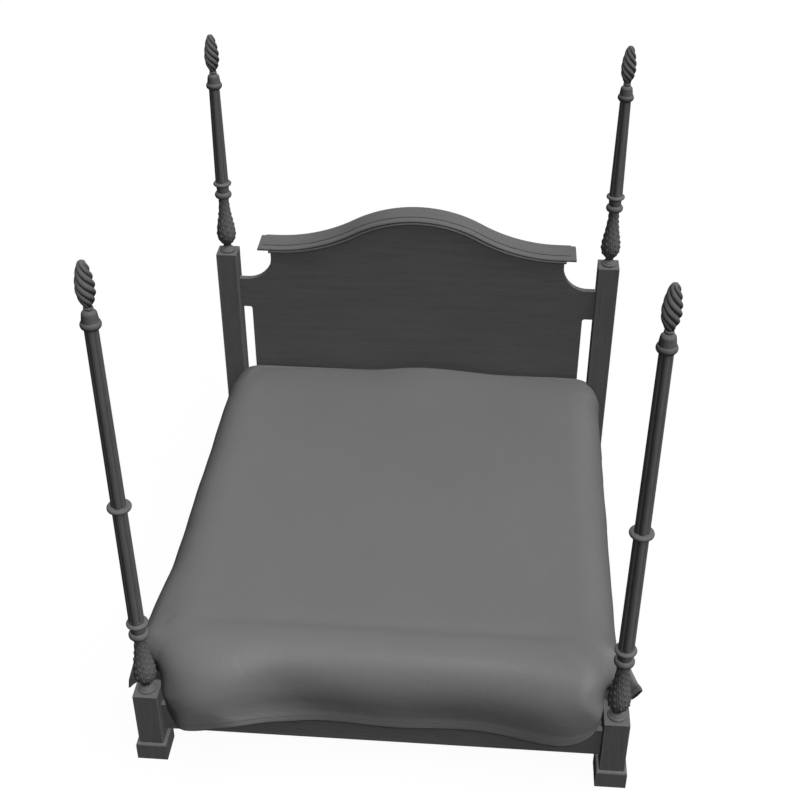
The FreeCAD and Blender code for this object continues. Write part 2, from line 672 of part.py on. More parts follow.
def backwards(outline):
    """The same open outline, walked from its end to its start."""
    ends = [entry[1] if isinstance(entry[0], tuple) else entry for entry in outline]
    walked = [ends[-1]]
    for entry, target in zip(reversed(outline), reversed(ends[:-1])):
        walked.append((entry[0], target) if isinstance(entry[0], tuple) else target)
    return walked


def arch_band(top_drop, bottom_drop, half_width):
    return arch(bottom_drop, half_width) + backwards(arch(top_drop, half_width))


def make_headboard_panel():
    """The panel: a foot between the posts, two ears, hollow shoulders and an arched head."""
    body = new_body("headboard_panel")
    edge, low = "panel_half_width", "rail_top"
    post = "post_inside"
    scoop = "neck_half_width + scoop_radius"
    scoop_foot = "(neck_half_width + scoop_radius * (1 - cos(45)))"
    scoop_level = "(ear_top + scoop_radius * (1 - cos(45)))"

    def mirrored(outline):
        walked = []
        for entry in backwards(outline):
            if isinstance(entry[0], tuple):
                walked.append(tuple(("-(%s)" % across, height) for across, height in entry))
            else:
                walked.append(("-(%s)" % entry[0], entry[1]))
        return walked

    right = [
        (edge, low),
        (edge, "ear_bottom - ear_fillet"),
        (("panel_half_width + ear_fillet * (1 - cos(45))", "ear_bottom - ear_fillet * (1 - sin(45))"),
         ("panel_half_width + ear_fillet", "ear_bottom")),
        (post, "ear_bottom"),
        (post, "ear_top"),
        (scoop, "ear_top"),
        ((scoop_foot, scoop_level), ("neck_half_width", "ear_top + scoop_radius")),
    ]
    head = backwards(arch("rail_cap_thickness + seat_gap", "neck_half_width"))
    slab(body, "board", right + head + mirrored(right), ("panel_front", "panel_back"))
    middle = "post_span_along / 2"
    for name, side in SIDES:
        block(body, name + "_tenon", span(side, post, post + " + tenon_length"),
              (middle + " - tenon_thickness / 2", middle + " + tenon_thickness / 2"),
              ("ear_bottom + tenon_shoulder", "ear_top - tenon_shoulder"))
    block(body, "tongue", about("panel_half_width - tongue_inset"),
          (middle + " - tongue_thickness / 2", middle + " + tongue_thickness / 2"),
          ("rail_top - tongue_height", "rail_top"))


def make_cap_rail():
    """The moulded cap on the headboard: a round nosing with a raised field on top."""
    body = new_body("cap_rail")
    slab(body, "nosing", arch_band("rail_cap_step", "rail_cap_thickness", "rail_cap_half_length"),
         ("rail_cap_front", "rail_cap_back"))
    front, half = amount("rail_cap_front"), amount("rail_cap_half_length")
    near = amount("seat_gap")

    def on_nosing(edge):
        if upright(edge):
            return False
        in_front = all(abs(vertex.Y - front) < near for vertex in edge.Vertexes)
        at_end = all(abs(abs(vertex.X) - half) < near for vertex in edge.Vertexes)
        return in_front or at_end

    rounded(body, "round", on_nosing, "(rail_cap_thickness - rail_cap_step) * 0.49")
    slab(body, "field",
         arch_band("0", "rail_cap_step * 2", "rail_cap_half_length - rail_cap_end_inset"),
         ("rail_cap_front + rail_cap_step_inset", "rail_cap_back"))


def make_bed_mould():
    """The moulding round the panel's head, under the cap rail: a bead below a plain band."""
    body = new_body("bed_mould")

    def around(reach):
        return ("panel_front - " + reach, "panel_back + " + reach)

    slab(body, "bead", arch_band("bead_drop", "bead_drop + bead_height", "neck_half_width + bead_reach"),
         around("bead_reach"))
    front, back = (amount(place) for place in around("bead_reach"))
    half = amount("neck_half_width + bead_reach")
    near = amount("seat_gap")

    def on_bead(edge):
        if upright(edge):
            return False
        faces = (
            all(abs(vertex.Y - front) < near for vertex in edge.Vertexes),
            all(abs(vertex.Y - back) < near for vertex in edge.Vertexes),
            all(abs(abs(vertex.X) - half) < near for vertex in edge.Vertexes),
        )
        return any(faces)

    rounded(body, "round", on_bead, "bead_height * 0.48")
    slab(body, "band", arch_band("rail_cap_thickness + seat_gap", "bead_drop + bead_height / 2",
                                 "neck_half_width + frieze_reach"), around("frieze_reach"))
    block(body, "panel_space", about("neck_half_width + seat_gap"),
          ("panel_front - seat_gap", "panel_back + seat_gap"),
          ("arch_shoulder - bead_drop - bead_height * 2", "arch_peak"), cut=True)


def make_end_rail(name, end):
    """A rail between two posts, with a tenon in each. The head rail is grooved for the panel."""
    body = new_body(name, "0", "%d * post_span_along / 2" % end)
    block(body, "board", about("post_inside"), about("rail_thickness / 2"), ("rail_bottom", "rail_top"))
    for part, side in SIDES:
        block(body, part + "_tenon", span(side, "post_inside", "post_inside + tenon_length"),
              about("tenon_thickness / 2"),
              ("rail_bottom + tenon_shoulder", "rail_top - tenon_shoulder"))
    if end > 0:
        block(body, "groove", about("panel_half_width - tongue_inset + tenon_gap"),
              about("tongue_thickness / 2 + tenon_gap"),
              ("rail_top - tongue_height - tenon_gap", "rail_top + overrun"), cut=True)


def make_side_rail(name, side):
    """A side rail with a seat for a hook plate let into each end."""
    body = new_body(name + "_side_rail", "%d * side_rail_line" % side)
    block(body, "board", about("rail_thickness / 2"), about("side_rail_end"), ("rail_bottom", "rail_top"))
    for part, end in (("foot", -1), ("head", 1)):
        block(body, part + "_seat", about("fitting_width / 2 + tenon_gap"),
              span(end, "side_rail_end - fitting_thickness", "side_rail_end + overrun"),
              ("fitting_middle - fitting_height / 2 - tenon_gap",
               "fitting_middle + fitting_height / 2 + tenon_gap"), cut=True)


def make_cleat(name, side):
    body = new_body(name + "_cleat")
    block(body, "strip", span(side, "side_rail_inner - cleat_width", "side_rail_inner"),
          about("post_line - cleat_inset"),
          ("rail_bottom + cleat_rise", "rail_bottom + cleat_rise + cleat_height"))


def make_slat(number):
    """One slat, laid across the bed on the cleats and the centre beam."""
    place = "(%s) * slat_pitch" % (number - (SLAT_COUNT + 1) / 2)
    body = new_body("slat_%d" % number, "0", place)
    block(body, "board", about("side_rail_inner - slat_end_gap"), about("slat_width / 2"),
          ("slat_seat", "slat_top"))


def make_centre_beam():
    body = new_body("centre_beam")
    block(body, "beam", about("beam_width / 2"),
          about("end_rail_inner - bracket_thickness - rail_end_gap"), ("beam_foot", "slat_seat"))


def make_leg(number):
    """A turned leg between the floor and the centre beam."""
    place = "%d * leg_pitch" % (number - (LEG_COUNT + 1) // 2)
    body = new_body("centre_leg_%d" % number, "0", place)
    rod(body, "foot", "leg_foot_radius", ("0", "leg_foot_height"))
    rod(body, "post", "leg_radius", ("leg_foot_height", "beam_foot"))


def plate(name, boxes, across="0", along="0"):
    """One steel fitting, made of joined rectangular blocks. It becomes part of a group."""
    body = doc.addObject("PartDesign::Body", name)
    bind(body, "Placement.Base.x", across)
    bind(body, "Placement.Base.y", along)
    for part, spans, cut in boxes:
        block(body, part, *spans, cut=cut)
    return body


def group(name, members):
    compound = doc.addObject("Part::Compound", name)
    compound.Links = members
    keep(name, compound)


def make_hook_plates():
    """Four hook plates, one in each end of the side rails. Their hooks reach behind the slots."""
    members = []
    for corner, side, end in CORNERS:
        behind = "post_line + fitting_thickness"
        boxes = [("plate", (about("fitting_width / 2"),
                            span(end, "side_rail_end - fitting_thickness", "side_rail_end"),
                            ("fitting_middle - fitting_height / 2",
                             "fitting_middle + fitting_height / 2")), False)]
        for part, way in (("lower", -1), ("upper", 1)):
            middle = "fitting_middle + %d * hook_spacing / 2" % way
            boxes.append((part + "_hook", (
                about("hook_thickness / 2"),
                span(end, "side_rail_end", behind + " + tenon_gap + hook_lip"),
                (middle + " - hook_height / 2 + hook_drop", middle + " + hook_height / 2")), False))
            boxes.append((part + "_lip", (
                about("hook_thickness / 2"),
                span(end, behind + " + tenon_gap", behind + " + tenon_gap + hook_lip"),
                (middle + " - hook_height / 2", middle + " - hook_height / 2 + hook_drop")), False))
        members.append(plate(corner + "_hook_plate", boxes, "%d * side_rail_line" % side))
    group("rail_hook_plates", members)


def make_slot_plates():
    """Four slot plates, let into the posts, that the hooks drop into."""
    members = []
    for corner, side, end in CORNERS:
        boxes = [("plate", (about("fitting_width / 2"),
                            span(end, "post_line", "post_line + fitting_thickness"),
                            ("fitting_middle - fitting_height / 2",
                             "fitting_middle + fitting_height / 2")), False)]
        for part, way in (("lower", -1), ("upper", 1)):
            middle = "fitting_middle + %d * hook_spacing / 2" % way
            boxes.append((part + "_slot", (
                about("hook_thickness / 2 + tenon_gap"),
                span(end, "post_line - overrun", "post_line + fitting_thickness + overrun"),
                (middle + " - hook_height / 2 + hook_drop - tenon_gap",
                 middle + " + hook_height / 2 + hook_drop")), True))
        members.append(plate(corner + "_slot_plate", boxes, "%d * side_rail_line" % side))
    group("post_slot_plates", members)


def make_beam_brackets():
    """Two steel seats on the end rails that carry the ends of the centre beam."""
    members = []
    wide = about("beam_width / 2 + tenon_gap + bracket_thickness")
    for name, end in (("foot", -1), ("head", 1)):
        boxes = [
            ("back", (wide, span(end, "end_rail_inner - bracket_thickness", "end_rail_inner"),
                      ("beam_foot - bracket_thickness - tenon_gap", "beam_foot + bracket_rise")), False),
            ("seat", (wide, span(end, "end_rail_inner - bracket_reach", "end_rail_inner"),
                      ("beam_foot - bracket_thickness - tenon_gap", "beam_foot - tenon_gap")), False),
        ]
        for part, side in SIDES:
            boxes.append((part + "_cheek", (
                span(side, "beam_width / 2 + tenon_gap", "beam_width / 2 + tenon_gap + bracket_thickness"),
                span(end, "end_rail_inner - bracket_reach", "end_rail_inner"),
                ("beam_foot - bracket_thickness - tenon_gap", "beam_foot + beam_height / 2")), False))
        members.append(plate(name + "_beam_bracket", boxes))
    group("beam_brackets", members)


def make_bedding(name, low, high, edge_round):
    """The mattress, or the upholstered base under it: a block with rounded edges and corners."""
    body = new_body(name)
    block(body, "stock", about("bedding_width / 2"), about("bedding_length / 2"), (low, high))
    rounded(body, "corners", upright, "mattress_corner")
    rounded(body, "edges", lambda edge: at_height(edge, high) or at_height(edge, low), edge_round)


def cover_contour(shares):
    """One level of the coverlet's outside, seen from above, as a closed wire.

    The side drops and the foot drop run in folds: arcs that bulge out and in by turns. Next to the
    foot posts each side drop flares out to a corner of its own.
    """
    height, side_share, foot_share, head_share, fold_share, left_flare, right_flare = shares
    level = amount("cover_low") + height * amount("cover_top - cover_low")
    half = amount("cover_half_width") * side_share
    foot = -amount("cover_foot") * foot_share
    head = amount("cover_head") * head_share
    fold = amount("cover_fold") * fold_share
    corner = amount("cover_corner")
    flare_line = -amount("cover_flare_line")
    flare_root = flare_line + 2 * corner
    foot_half = amount("post_inside") - corner / 2

    def at(across, along):
        return Vector(across, along, level)

    def arc(start, middle, end):
        return Part.Arc(start, middle, end).toShape()

    def side_edges(side, flare_share):
        """From the head corner to the foot corner on one side."""
        flare = amount("cover_flare") * flare_share
        edges = [arc(at(side * (half - corner), head),
                     at(side * (half - corner * 0.3), head - corner * 0.3),
                     at(side * half, head - corner))]
        step = (head - corner - flare_root) / SIDE_FOLDS
        for number in range(SIDE_FOLDS):
            upper = head - corner - number * step
            bulge = fold if number % 2 else -fold
            edges.append(arc(at(side * half, upper), at(side * (half + bulge), upper - step / 2),
                             at(side * half, upper - step)))
        tip = at(side * (half + flare + fold * 0.1), flare_line)
        edges.append(arc(at(side * half, flare_root),
                         at(side * (half + flare * 0.3), (flare_root + flare_line) / 2), tip))
        turn = at(side * foot_half, foot + corner / 2)
        edges.append(Part.LineSegment(tip, turn).toShape())
        edges.append(arc(turn, at(side * (foot_half - corner * 0.15), foot + corner * 0.15),
                         at(side * (foot_half - corner / 2), foot)))
        return edges

    left = side_edges(-1, left_flare)
    right = side_edges(1, right_flare)
    foot_edges = []
    start = -(foot_half - corner / 2)
    step = -2 * start / FOOT_FOLDS
    for number in range(FOOT_FOLDS):
        along = start + number * step
        bulge = fold / 2 if number % 2 else -fold / 2
        foot_edges.append(arc(at(along, foot), at(along + step / 2, foot + bulge), at(along + step, foot)))
    head_edge = [Part.LineSegment(at(half - corner, head), at(corner - half, head)).toShape()]
    return Part.Wire(Part.__sortEdges__(left + foot_edges + right + head_edge))


def wavy_block(points, lowest, x_or_y, low, high):
    """A block whose top is a smooth curve: it trims a hem. The points are place and height."""
    def at(place, level):
        return Vector(place, low, level) if x_or_y == "y" else Vector(low, place, level)

    curve = Part.BSplineCurve()
    curve.interpolate([at(place, level) for place, level in points])
    first, last = points[0], points[-1]
    corners = [at(last[0], last[1]), at(last[0], lowest), at(first[0], lowest), at(first[0], first[1])]
    edges = [curve.toShape()]
    for start, end in zip(corners, corners[1:]):
        edges.append(Part.LineSegment(start, end).toShape())
    face = Part.Face(Part.Wire(edges))
    way = Vector(0, high - low, 0) if x_or_y == "y" else Vector(high - low, 0, 0)
    return face.extrude(way)


def make_coverlet(mattress):
    """The coverlet: hangs over both sides and the foot, between the foot posts and outside the rails.

    Its outside is lofted through level contours. The mattress, the rails and the space that the
    cloth hangs clear of are cut from the inside, the four posts from the corners, and the hem below.
    """
    outside = Part.makeLoft([cover_contour(shares) for shares in COVER_SHARES], True, False)
    gap = amount("seat_gap")
    low = amount("cover_low - overrun")
    far = amount("cover_half_width + 2 * cover_flare + overrun")
    ends = amount("cover_foot + 2 * cover_fold + overrun")
    rail_half = amount("side_rail_outer") + gap
    rail_foot = -amount("end_rail_outer") - gap
    cavity = mattress.Shape.makeOffsetShape(gap, gap * 0.01)
    half = amount("bedding_width / 2 + cover_hang")
    bed_foot = -amount("bedding_length / 2 + cover_hang")
    hang = Part.makeBox(2 * half, ends - bed_foot, amount("cover_hang_top") - low,
                        Vector(-half, bed_foot, low))
    rails = Part.makeBox(2 * rail_half, ends - rail_foot, amount("rail_top + cover_hang") - low,
                         Vector(-rail_half, rail_foot, low))
    hang = hang.makeFillet(amount("cover_hang") * 0.8, hang.Edges[5:6] + hang.Edges[1:2])
    shape = outside.cut([cavity, hang, rails])
    inside = amount("post_inside") - gap
    post = amount("post_line") - gap
    cuts = []
    for corner, side, end in CORNERS:
        low_x = inside if side > 0 else -far
        low_y = post if end > 0 else -ends
        cuts.append(Part.makeBox(far - inside, ends - post, amount("cover_top + overrun") - low,
                                 Vector(low_x, low_y, low)))
    rise = amount("cover_top - cover_low")
    base = amount("cover_low")
    foot_hem = [(share * inside, base + height * rise) for share, height in FOOT_HEM_SHARES]
    cuts.append(wavy_block(foot_hem, low, "y", -ends, rail_foot + gap / 2))
    hem, wave = amount("side_hem"), amount("side_hem_wave")
    places = [post * (2.0 * number / (2 * SIDE_FOLDS) - 1) for number in range(2 * SIDE_FOLDS + 1)]
    side_hem = [(place, hem + (wave if number % 4 == 1 else -wave * (number % 4 == 3)))
                for number, place in enumerate(places)]
    for side in (-1, 1):
        start = min(side * (rail_half - gap / 2), side * far)
        cuts.append(wavy_block(side_hem, low, "x", start, start + far - rail_half + gap / 2))
    feature = doc.addObject("Part::Feature", "coverlet")
    feature.Shape = shape.cut(cuts).removeSplitter()
    keep("coverlet", feature)


for corner, side, end in CORNERS:
    make_plinth(corner, side, end)
    make_post_block(corner, side, end)
    make_vase(corner, side, end)
    vase_top = block_top_of(end) + " + vase_height"
    if end < 0:
        ring_low = "mid_ring_height - mid_ring_half"
        ring_high = "mid_ring_height + mid_ring_half"
        make_shaft(corner + "_lower_shaft", side, end, vase_top, ring_low, vase_top,
                   upper_dowel="2 * mid_ring_half + dowel_length")
        make_mid_ring(corner, side, end)
        make_shaft(corner + "_upper_shaft", side, end, ring_high, "shaft_top", vase_top, lower_bore=True)
    else:
        make_shaft(corner + "_shaft", side, end, vase_top, "shaft_top", vase_top)
    make_post_cap(corner, side, end)
    make_finial(corner, side, end)
make_headboard_panel()
make_cap_rail()
make_bed_mould()
make_end_rail("head_rail", 1)
make_end_rail("foot_rail", -1)
for side_name, side in SIDES:
    make_side_rail(side_name, side)
    make_cleat(side_name, side)
for number in range(1, SLAT_COUNT + 1):
    make_slat(number)
make_centre_beam()
for number in range(1, LEG_COUNT + 1):
    make_leg(number)
make_hook_plates()
make_slot_plates()
make_beam_brackets()
make_bedding("base", "slat_top", "base_top", "base_round")
make_bedding("mattress", "base_top", "mattress_top", "mattress_round")
doc.recompute()
make_coverlet(nodes["mattress"])
doc.recompute()

faults = []
for obj in doc.Objects:
    if "Invalid" in obj.State or "Error" in obj.State:
        faults.append("%s: %s" % (obj.Name, obj.State))
for name, obj in nodes.items():
    if obj.Shape.isNull() or not obj.Shape.isValid():
        faults.append("%s: shape is not valid" % name)
if faults:
    raise RuntimeError("failed pieces:\n" + "\n".join(faults))

os.makedirs("parts", exist_ok=True)
for name, obj in nodes.items():
    obj.Shape.exportStep("parts/%s.step" % name)
    print(name, len(obj.Shape.Solids), round(obj.Shape.Volume / 1000.0, 1))
print(len(nodes), "sub-parts")
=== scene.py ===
import bpy
import numpy as np
from mathutils import Euler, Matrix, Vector


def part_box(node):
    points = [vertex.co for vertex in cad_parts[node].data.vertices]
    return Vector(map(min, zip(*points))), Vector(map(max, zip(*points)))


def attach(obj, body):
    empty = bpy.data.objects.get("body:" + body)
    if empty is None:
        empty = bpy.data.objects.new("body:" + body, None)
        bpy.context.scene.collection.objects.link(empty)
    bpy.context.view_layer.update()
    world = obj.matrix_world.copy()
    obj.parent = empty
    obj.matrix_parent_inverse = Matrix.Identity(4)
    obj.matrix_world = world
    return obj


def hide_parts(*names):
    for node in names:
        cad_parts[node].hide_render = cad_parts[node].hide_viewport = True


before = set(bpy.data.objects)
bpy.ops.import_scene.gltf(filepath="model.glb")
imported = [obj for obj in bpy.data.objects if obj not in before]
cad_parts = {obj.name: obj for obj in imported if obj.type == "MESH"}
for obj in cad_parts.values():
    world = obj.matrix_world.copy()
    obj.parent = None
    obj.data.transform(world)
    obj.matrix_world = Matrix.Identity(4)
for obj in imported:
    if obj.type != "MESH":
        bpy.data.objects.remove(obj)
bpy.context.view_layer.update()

# All lengths are metres and all angles degrees. The camera was solved from the four posts in the photograph.
CAMERA_PLACE = (0.37015, -4.76476, 4.41659)
CAMERA_DOWN = 34.705
CAMERA_LEFT = 4.441
CAMERA_LENS_MM = 59.52
CAMERA_SENSOR_MM = 36.0
SUN_FROM = (0.38, -0.20, 0.90)
# Each sun's energy, how wide it is in the sky, and whether it throws shadows.
SUNS = {"key_light": (2.25, 6.0, False), "soft_light": (0.85, 60.0, True)}
# Share of the white background that lights the bed. Where it is seen, or mirrored in metal, it is whole.
SKY_LIGHT = 0.055
WHITE = (1.0, 1.0, 1.0, 1.0)
FLOOR_HALF = 30.0
# The floor's paint where it is seen, the share and strength of its glow there, and its paint for the light.
FLOOR_PALE = (0.95, 0.95, 0.95, 1.0)
FLOOR_GLOW_SHARE = 0.86
FLOOR_GLOW = 1.02
FLOOR_DIM = (0.08, 0.08, 0.08, 1.0)

# The corners by the side and the end of the bed that they are on: left and foot -1, right and head 1.
CORNERS = {"foot_left": (-1, -1), "foot_right": (1, -1), "head_left": (-1, 1), "head_right": (1, 1)}
# Middle of the posts, half the width of their blocks, and the height at which the foot blocks end.
POST_X, POST_Y = 0.955, 1.0725
BLOCK_HALF = 0.05125
FOOT_BLOCK_TOP = 0.358
TURN = 2 * np.pi
QUARTER = np.pi / 2


# Meshes

def ring_faces(rings, columns):
    """Quads between neighbouring closed rings of a grid, whose last column joins its first."""
    ring, column = np.meshgrid(np.arange(rings - 1), np.arange(columns), indexing="ij")
    following = (column + 1) % columns
    quads = np.stack([ring * columns + column, ring * columns + following,
                      (ring + 1) * columns + following, (ring + 1) * columns + column], axis=-1)
    return quads.reshape(-1, 4)


def pole_faces(pole, first, columns, last_pole=False):
    """Triangles from a pole to the ring that starts at vertex first."""
    column = np.arange(columns)
    following = (column + 1) % columns
    near, far = (column, following) if last_pole else (following, column)
    return np.stack([np.full(columns, pole), first + near, first + far], axis=-1)


def six_volumes(vertices, faces):
    """Six times the volume between the triangles and the middle point, above zero if they face outwards."""
    points = vertices - vertices.mean(axis=0)
    one, two, three = (points[faces[:, corner]] for corner in range(3))
    return np.einsum("ij,ij->i", one, np.cross(two, three)).sum()


def add_object(name, data):
    """A new object in the scene, at the origin."""
    added = bpy.data.objects.new(name, data)
    bpy.context.scene.collection.objects.link(added)
    return added


def add_piece(name, vertices, quads, triangles, finish, uv=None, measures=None):
    """A smooth mesh at the origin that faces outwards, carries a finish and rides on the bed."""
    fan = np.concatenate([triangles, quads[:, [0, 1, 2]], quads[:, [0, 2, 3]]])
    if six_volumes(vertices, fan) < 0:
        quads = quads[:, ::-1]
        triangles = triangles[:, ::-1]
    mesh = bpy.data.meshes.new(name)
    mesh.from_pydata(vertices.tolist(), [], quads.tolist() + triangles.tolist())
    mesh.polygons.foreach_set("use_smooth", np.ones(len(mesh.polygons), bool))
    if uv is not None:
        corners = np.empty(len(mesh.loops), np.int32)
        mesh.loops.foreach_get("vertex_index", corners)
        mesh.uv_layers.new(name="cloth").data.foreach_set("uv", uv[corners].astype(np.float32).ravel())
    for key, values in (measures or {}).items():
        measure = mesh.attributes.new(key, "FLOAT", "POINT")
        measure.data.foreach_set("value", values.astype(np.float32).ravel())
    mesh.materials.append(finish)
    mesh.update()
    piece = add_object(name, mesh)
    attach(piece, "bed")
    return piece


def step_between(low, high, values):
    """0 below low, 1 above high, and 3 t^2 - 2 t^3 between them."""
    share = np.clip((values - low) / (high - low), 0.0, 1.0)
    return share * share * (3 - 2 * share)


def bump_at(place, width, values):
    """A bell of height 1 at place, exp(-((v - place) / width)^2)."""
    return np.exp(-((values - place) / width) ** 2)


def uneven_bump(place, widths, values):
    """The same bell with one width below its place and another above it."""
    below, above = widths
    return np.where(values < place, bump_at(place, below, values), bump_at(place, above, values))


def lesser(first, second, blend):
    """The smaller of two lengths with a soft change, (a + b - sqrt((a - b)^2 + blend^2)) / 2."""
    return (first + second - np.sqrt((first - second) ** 2 + blend ** 2)) / 2


# Finishes

class Socket:
    """An output of a shader node that sums and products can be written with."""

    def __init__(self, finish, output):
        self.finish = finish
        self.output = output

    def math(self, operation, first, second=0.0):
        """One sum or product, as a node."""
        return self.finish.node("ShaderNodeMath", {"operation": operation}, {0: first, 1: second})[0]

    def __add__(self, other):
        return self.math("ADD", self, other)

    def __radd__(self, other):
        return self.math("ADD", other, self)

    def __sub__(self, other):
        return self.math("SUBTRACT", self, other)

    def __rsub__(self, other):
        return self.math("SUBTRACT", other, self)

    def __mul__(self, other):
        return self.math("MULTIPLY", self, other)

    def __rmul__(self, other):
        return self.math("MULTIPLY", other, self)

    def size(self):
        """Without its sign."""
        return self.math("ABSOLUTE", self)

    def wave(self, pitch):
        """A sine wave that repeats at every pitch."""
        return self.math("SINE", self * (TURN / pitch))

    def most(self, other):
        """The larger of the two."""
        return self.math("MAXIMUM", self, other)


class Finish:
    """A procedural material, or the world's, written as expressions on its sockets."""

    def __init__(self, name, world=None):
        self.material = world or bpy.data.materials.new(name)
        self.material.use_nodes = True
        self.tree = self.material.node_tree
        self.tree.nodes.clear()

    def node(self, kind, settings=None, sockets=None):
        """The outputs of a new node, with these settings and these values or links at its inputs."""
        made = self.tree.nodes.new(kind)
        for key, value in (settings or {}).items():
            setattr(made, key, value)
        for key, value in (sockets or {}).items():
            if isinstance(value, Socket):
                self.tree.links.new(value.output, made.inputs[key])
            else:
                made.inputs[key].default_value = value
        return [Socket(self, output) for output in made.outputs]

    def place(self):
        """Object coordinates, which are metres in the bed's own frame."""
        return self.node("ShaderNodeTexCoord")[3]

    def axes(self, vector):
        """The three numbers of a vector."""
        return self.node("ShaderNodeSeparateXYZ", {}, {0: vector})

    def stretched(self, vector, scale):
        """Places for a pattern that is drawn out along each axis where its scale is below 1."""
        return self.node("ShaderNodeMapping", {"vector_type": "POINT"}, {"Vector": vector, "Scale": scale})[0]

    def noise(self, vector, scale=1.0, detail=3.0, roughness=0.55, distortion=0.0):
        """Noise about zero, from about -0.5 to 0.5."""
        return self.node("ShaderNodeTexNoise", {}, {
            "Vector": vector, "Scale": scale, "Detail": detail, "Roughness": roughness,
            "Distortion": distortion})[0] - 0.5

    def measure(self, name):
        """A value that the mesh carries at its vertices."""
        return self.node("ShaderNodeAttribute", {"attribute_name": name})[2]

    def ease(self, low, high, value):
        """0 below low, 1 above high, and a smooth step between them."""
        return self.node("ShaderNodeMapRange", {"interpolation_type": "SMOOTHSTEP"}, {
            "Value": value, "From Min": low, "From Max": high})[0]

    def tint(self, colour, tone):
        """A colour times a number that changes over the surface."""
        return self.node("ShaderNodeVectorMath", {"operation": "SCALE"}, {0: colour, "Scale": tone})[0]

    def bump(self, height, depth):
        """The normal of a surface that rises by depth where height is 1."""
        return self.node("ShaderNodeBump", {}, {"Height": height, "Distance": depth, "Strength": 1.0})[0]

    def done(self, colour, roughness, normal, constants):
        """The material, with these on its one shader."""
        sockets = {"Base Color": colour, "Roughness": roughness, "Normal": normal, **constants}
        shader = self.node("ShaderNodeBsdfPrincipled", {}, sockets)[0]
        self.node("ShaderNodeOutputMaterial", {}, {"Surface": shader})
        return self.material


# How far from its corner a post block is worn, fully and at most, and how ragged that edge is.
WORN_FROM, WORN_TO, WORN_RAGGED = 0.002, 0.009, 0.006
GRAIN_BUMP = 0.0007
WOOD_LUSTRE = 0.04


def wood(name, along, colour, worn=False, polish=0.5):
    """Stained timber. along is the axis of the grain, 0 for x, 1 for y and 2 for z.

    The grain is noise drawn out twenty times along the timber, with fine pores, drawn out forty
    times, and a slow change of tone. Worn timber is paler along the upright edges of the post blocks.
    """
    finish = Finish(name)
    place = finish.place()
    grained, pored = (finish.stretched(place, [scale if axis == along else 1.0 for axis in range(3)])
                      for scale in (0.05, 0.025))
    broad = finish.noise(place, scale=3.2, detail=2.0)
    bands = finish.noise(grained, scale=58.0, detail=4.0, roughness=0.6, distortion=0.35)
    pores = finish.ease(0.10, 0.24, finish.noise(pored, scale=620.0, detail=2.0, roughness=0.5))
    tone = 1.0 + 0.16 * broad + 0.30 * bands - 0.22 * pores
    rough = polish + 0.22 * broad - 0.16 * bands
    if worn:
        x, y = finish.axes(place)[:2]
        across = ((x.size() - POST_X).size() - BLOCK_HALF).size()
        deep = ((y.size() - POST_Y).size() - BLOCK_HALF).size()
        ragged = finish.noise(place, scale=45.0)
        edge = 1.0 - finish.ease(WORN_FROM, WORN_TO, across.most(deep) + WORN_RAGGED * ragged)
        tone = tone + 0.22 * edge
        rough = rough - 0.08 * edge
    normal = finish.bump(bands - 0.8 * pores, GRAIN_BUMP)
    return finish.done(finish.tint(colour, tone), rough, normal, lustre(WOOD_LUSTRE))


def lustre(share):
    """A dull gleam that fades towards the outline: a small share of a reflection with a black rim."""
    return {"Metallic": share, "Specular Tint": (0.0, 0.0, 0.0, 1.0), "Specular IOR Level": 0.0}


def steel(name, colour):
    """Plain zinc plated steel: cloudy tone with fine rolling lines."""
    finish = Finish(name)
    place = finish.place()
    cloud = finish.noise(place, scale=60.0)
    lines = finish.noise(finish.stretched(place, (1.0, 1.0, 0.03)), scale=900.0, detail=2.0)
    tone = 1.0 + 0.25 * cloud + 0.12 * lines
    return finish.done(finish.tint(colour, tone), 0.42 + 0.3 * cloud,
                       finish.bump(lines, 0.0001), {"Metallic": 1.0})


def woven(name, colour, pitch, slub, stripes=0.0):
    """Plain woven cloth on object coordinates: warp and weft waves, slubs and a slow change of tone.

    pitch is from thread to thread, slub the weight of the thicker threads, and stripes the distance
    between woven stripes, if it has any.
    """
    finish = Finish(name)
    place = finish.place()
    x, y, z = finish.axes(place)
    weave = (x + z).wave(pitch) * (y + z).wave(pitch)
    slubs = finish.noise(finish.stretched(place, (1.0, 0.06, 1.0)), scale=220.0)
    cloud = finish.noise(place, scale=5.0)
    tone = 1.0 + slub * slubs + 0.10 * cloud + 0.05 * weave
    if stripes:
        tone = tone - 0.35 * finish.ease(0.55, 0.75, x.wave(stripes))
    return finish.done(finish.tint(colour, tone), 0.85 + 0.1 * cloud,
                       finish.bump(weave, 0.0003), {"Specular IOR Level": 0.15, "Sheen Weight": 0.06})


COVER_THREAD = 0.0042
HEM_WIDTH = 0.030
STITCH_LINE = 0.027
STITCH_PITCH = 0.009
COVER_BUMP = 0.0018
COVER_LUSTRE = 0.10


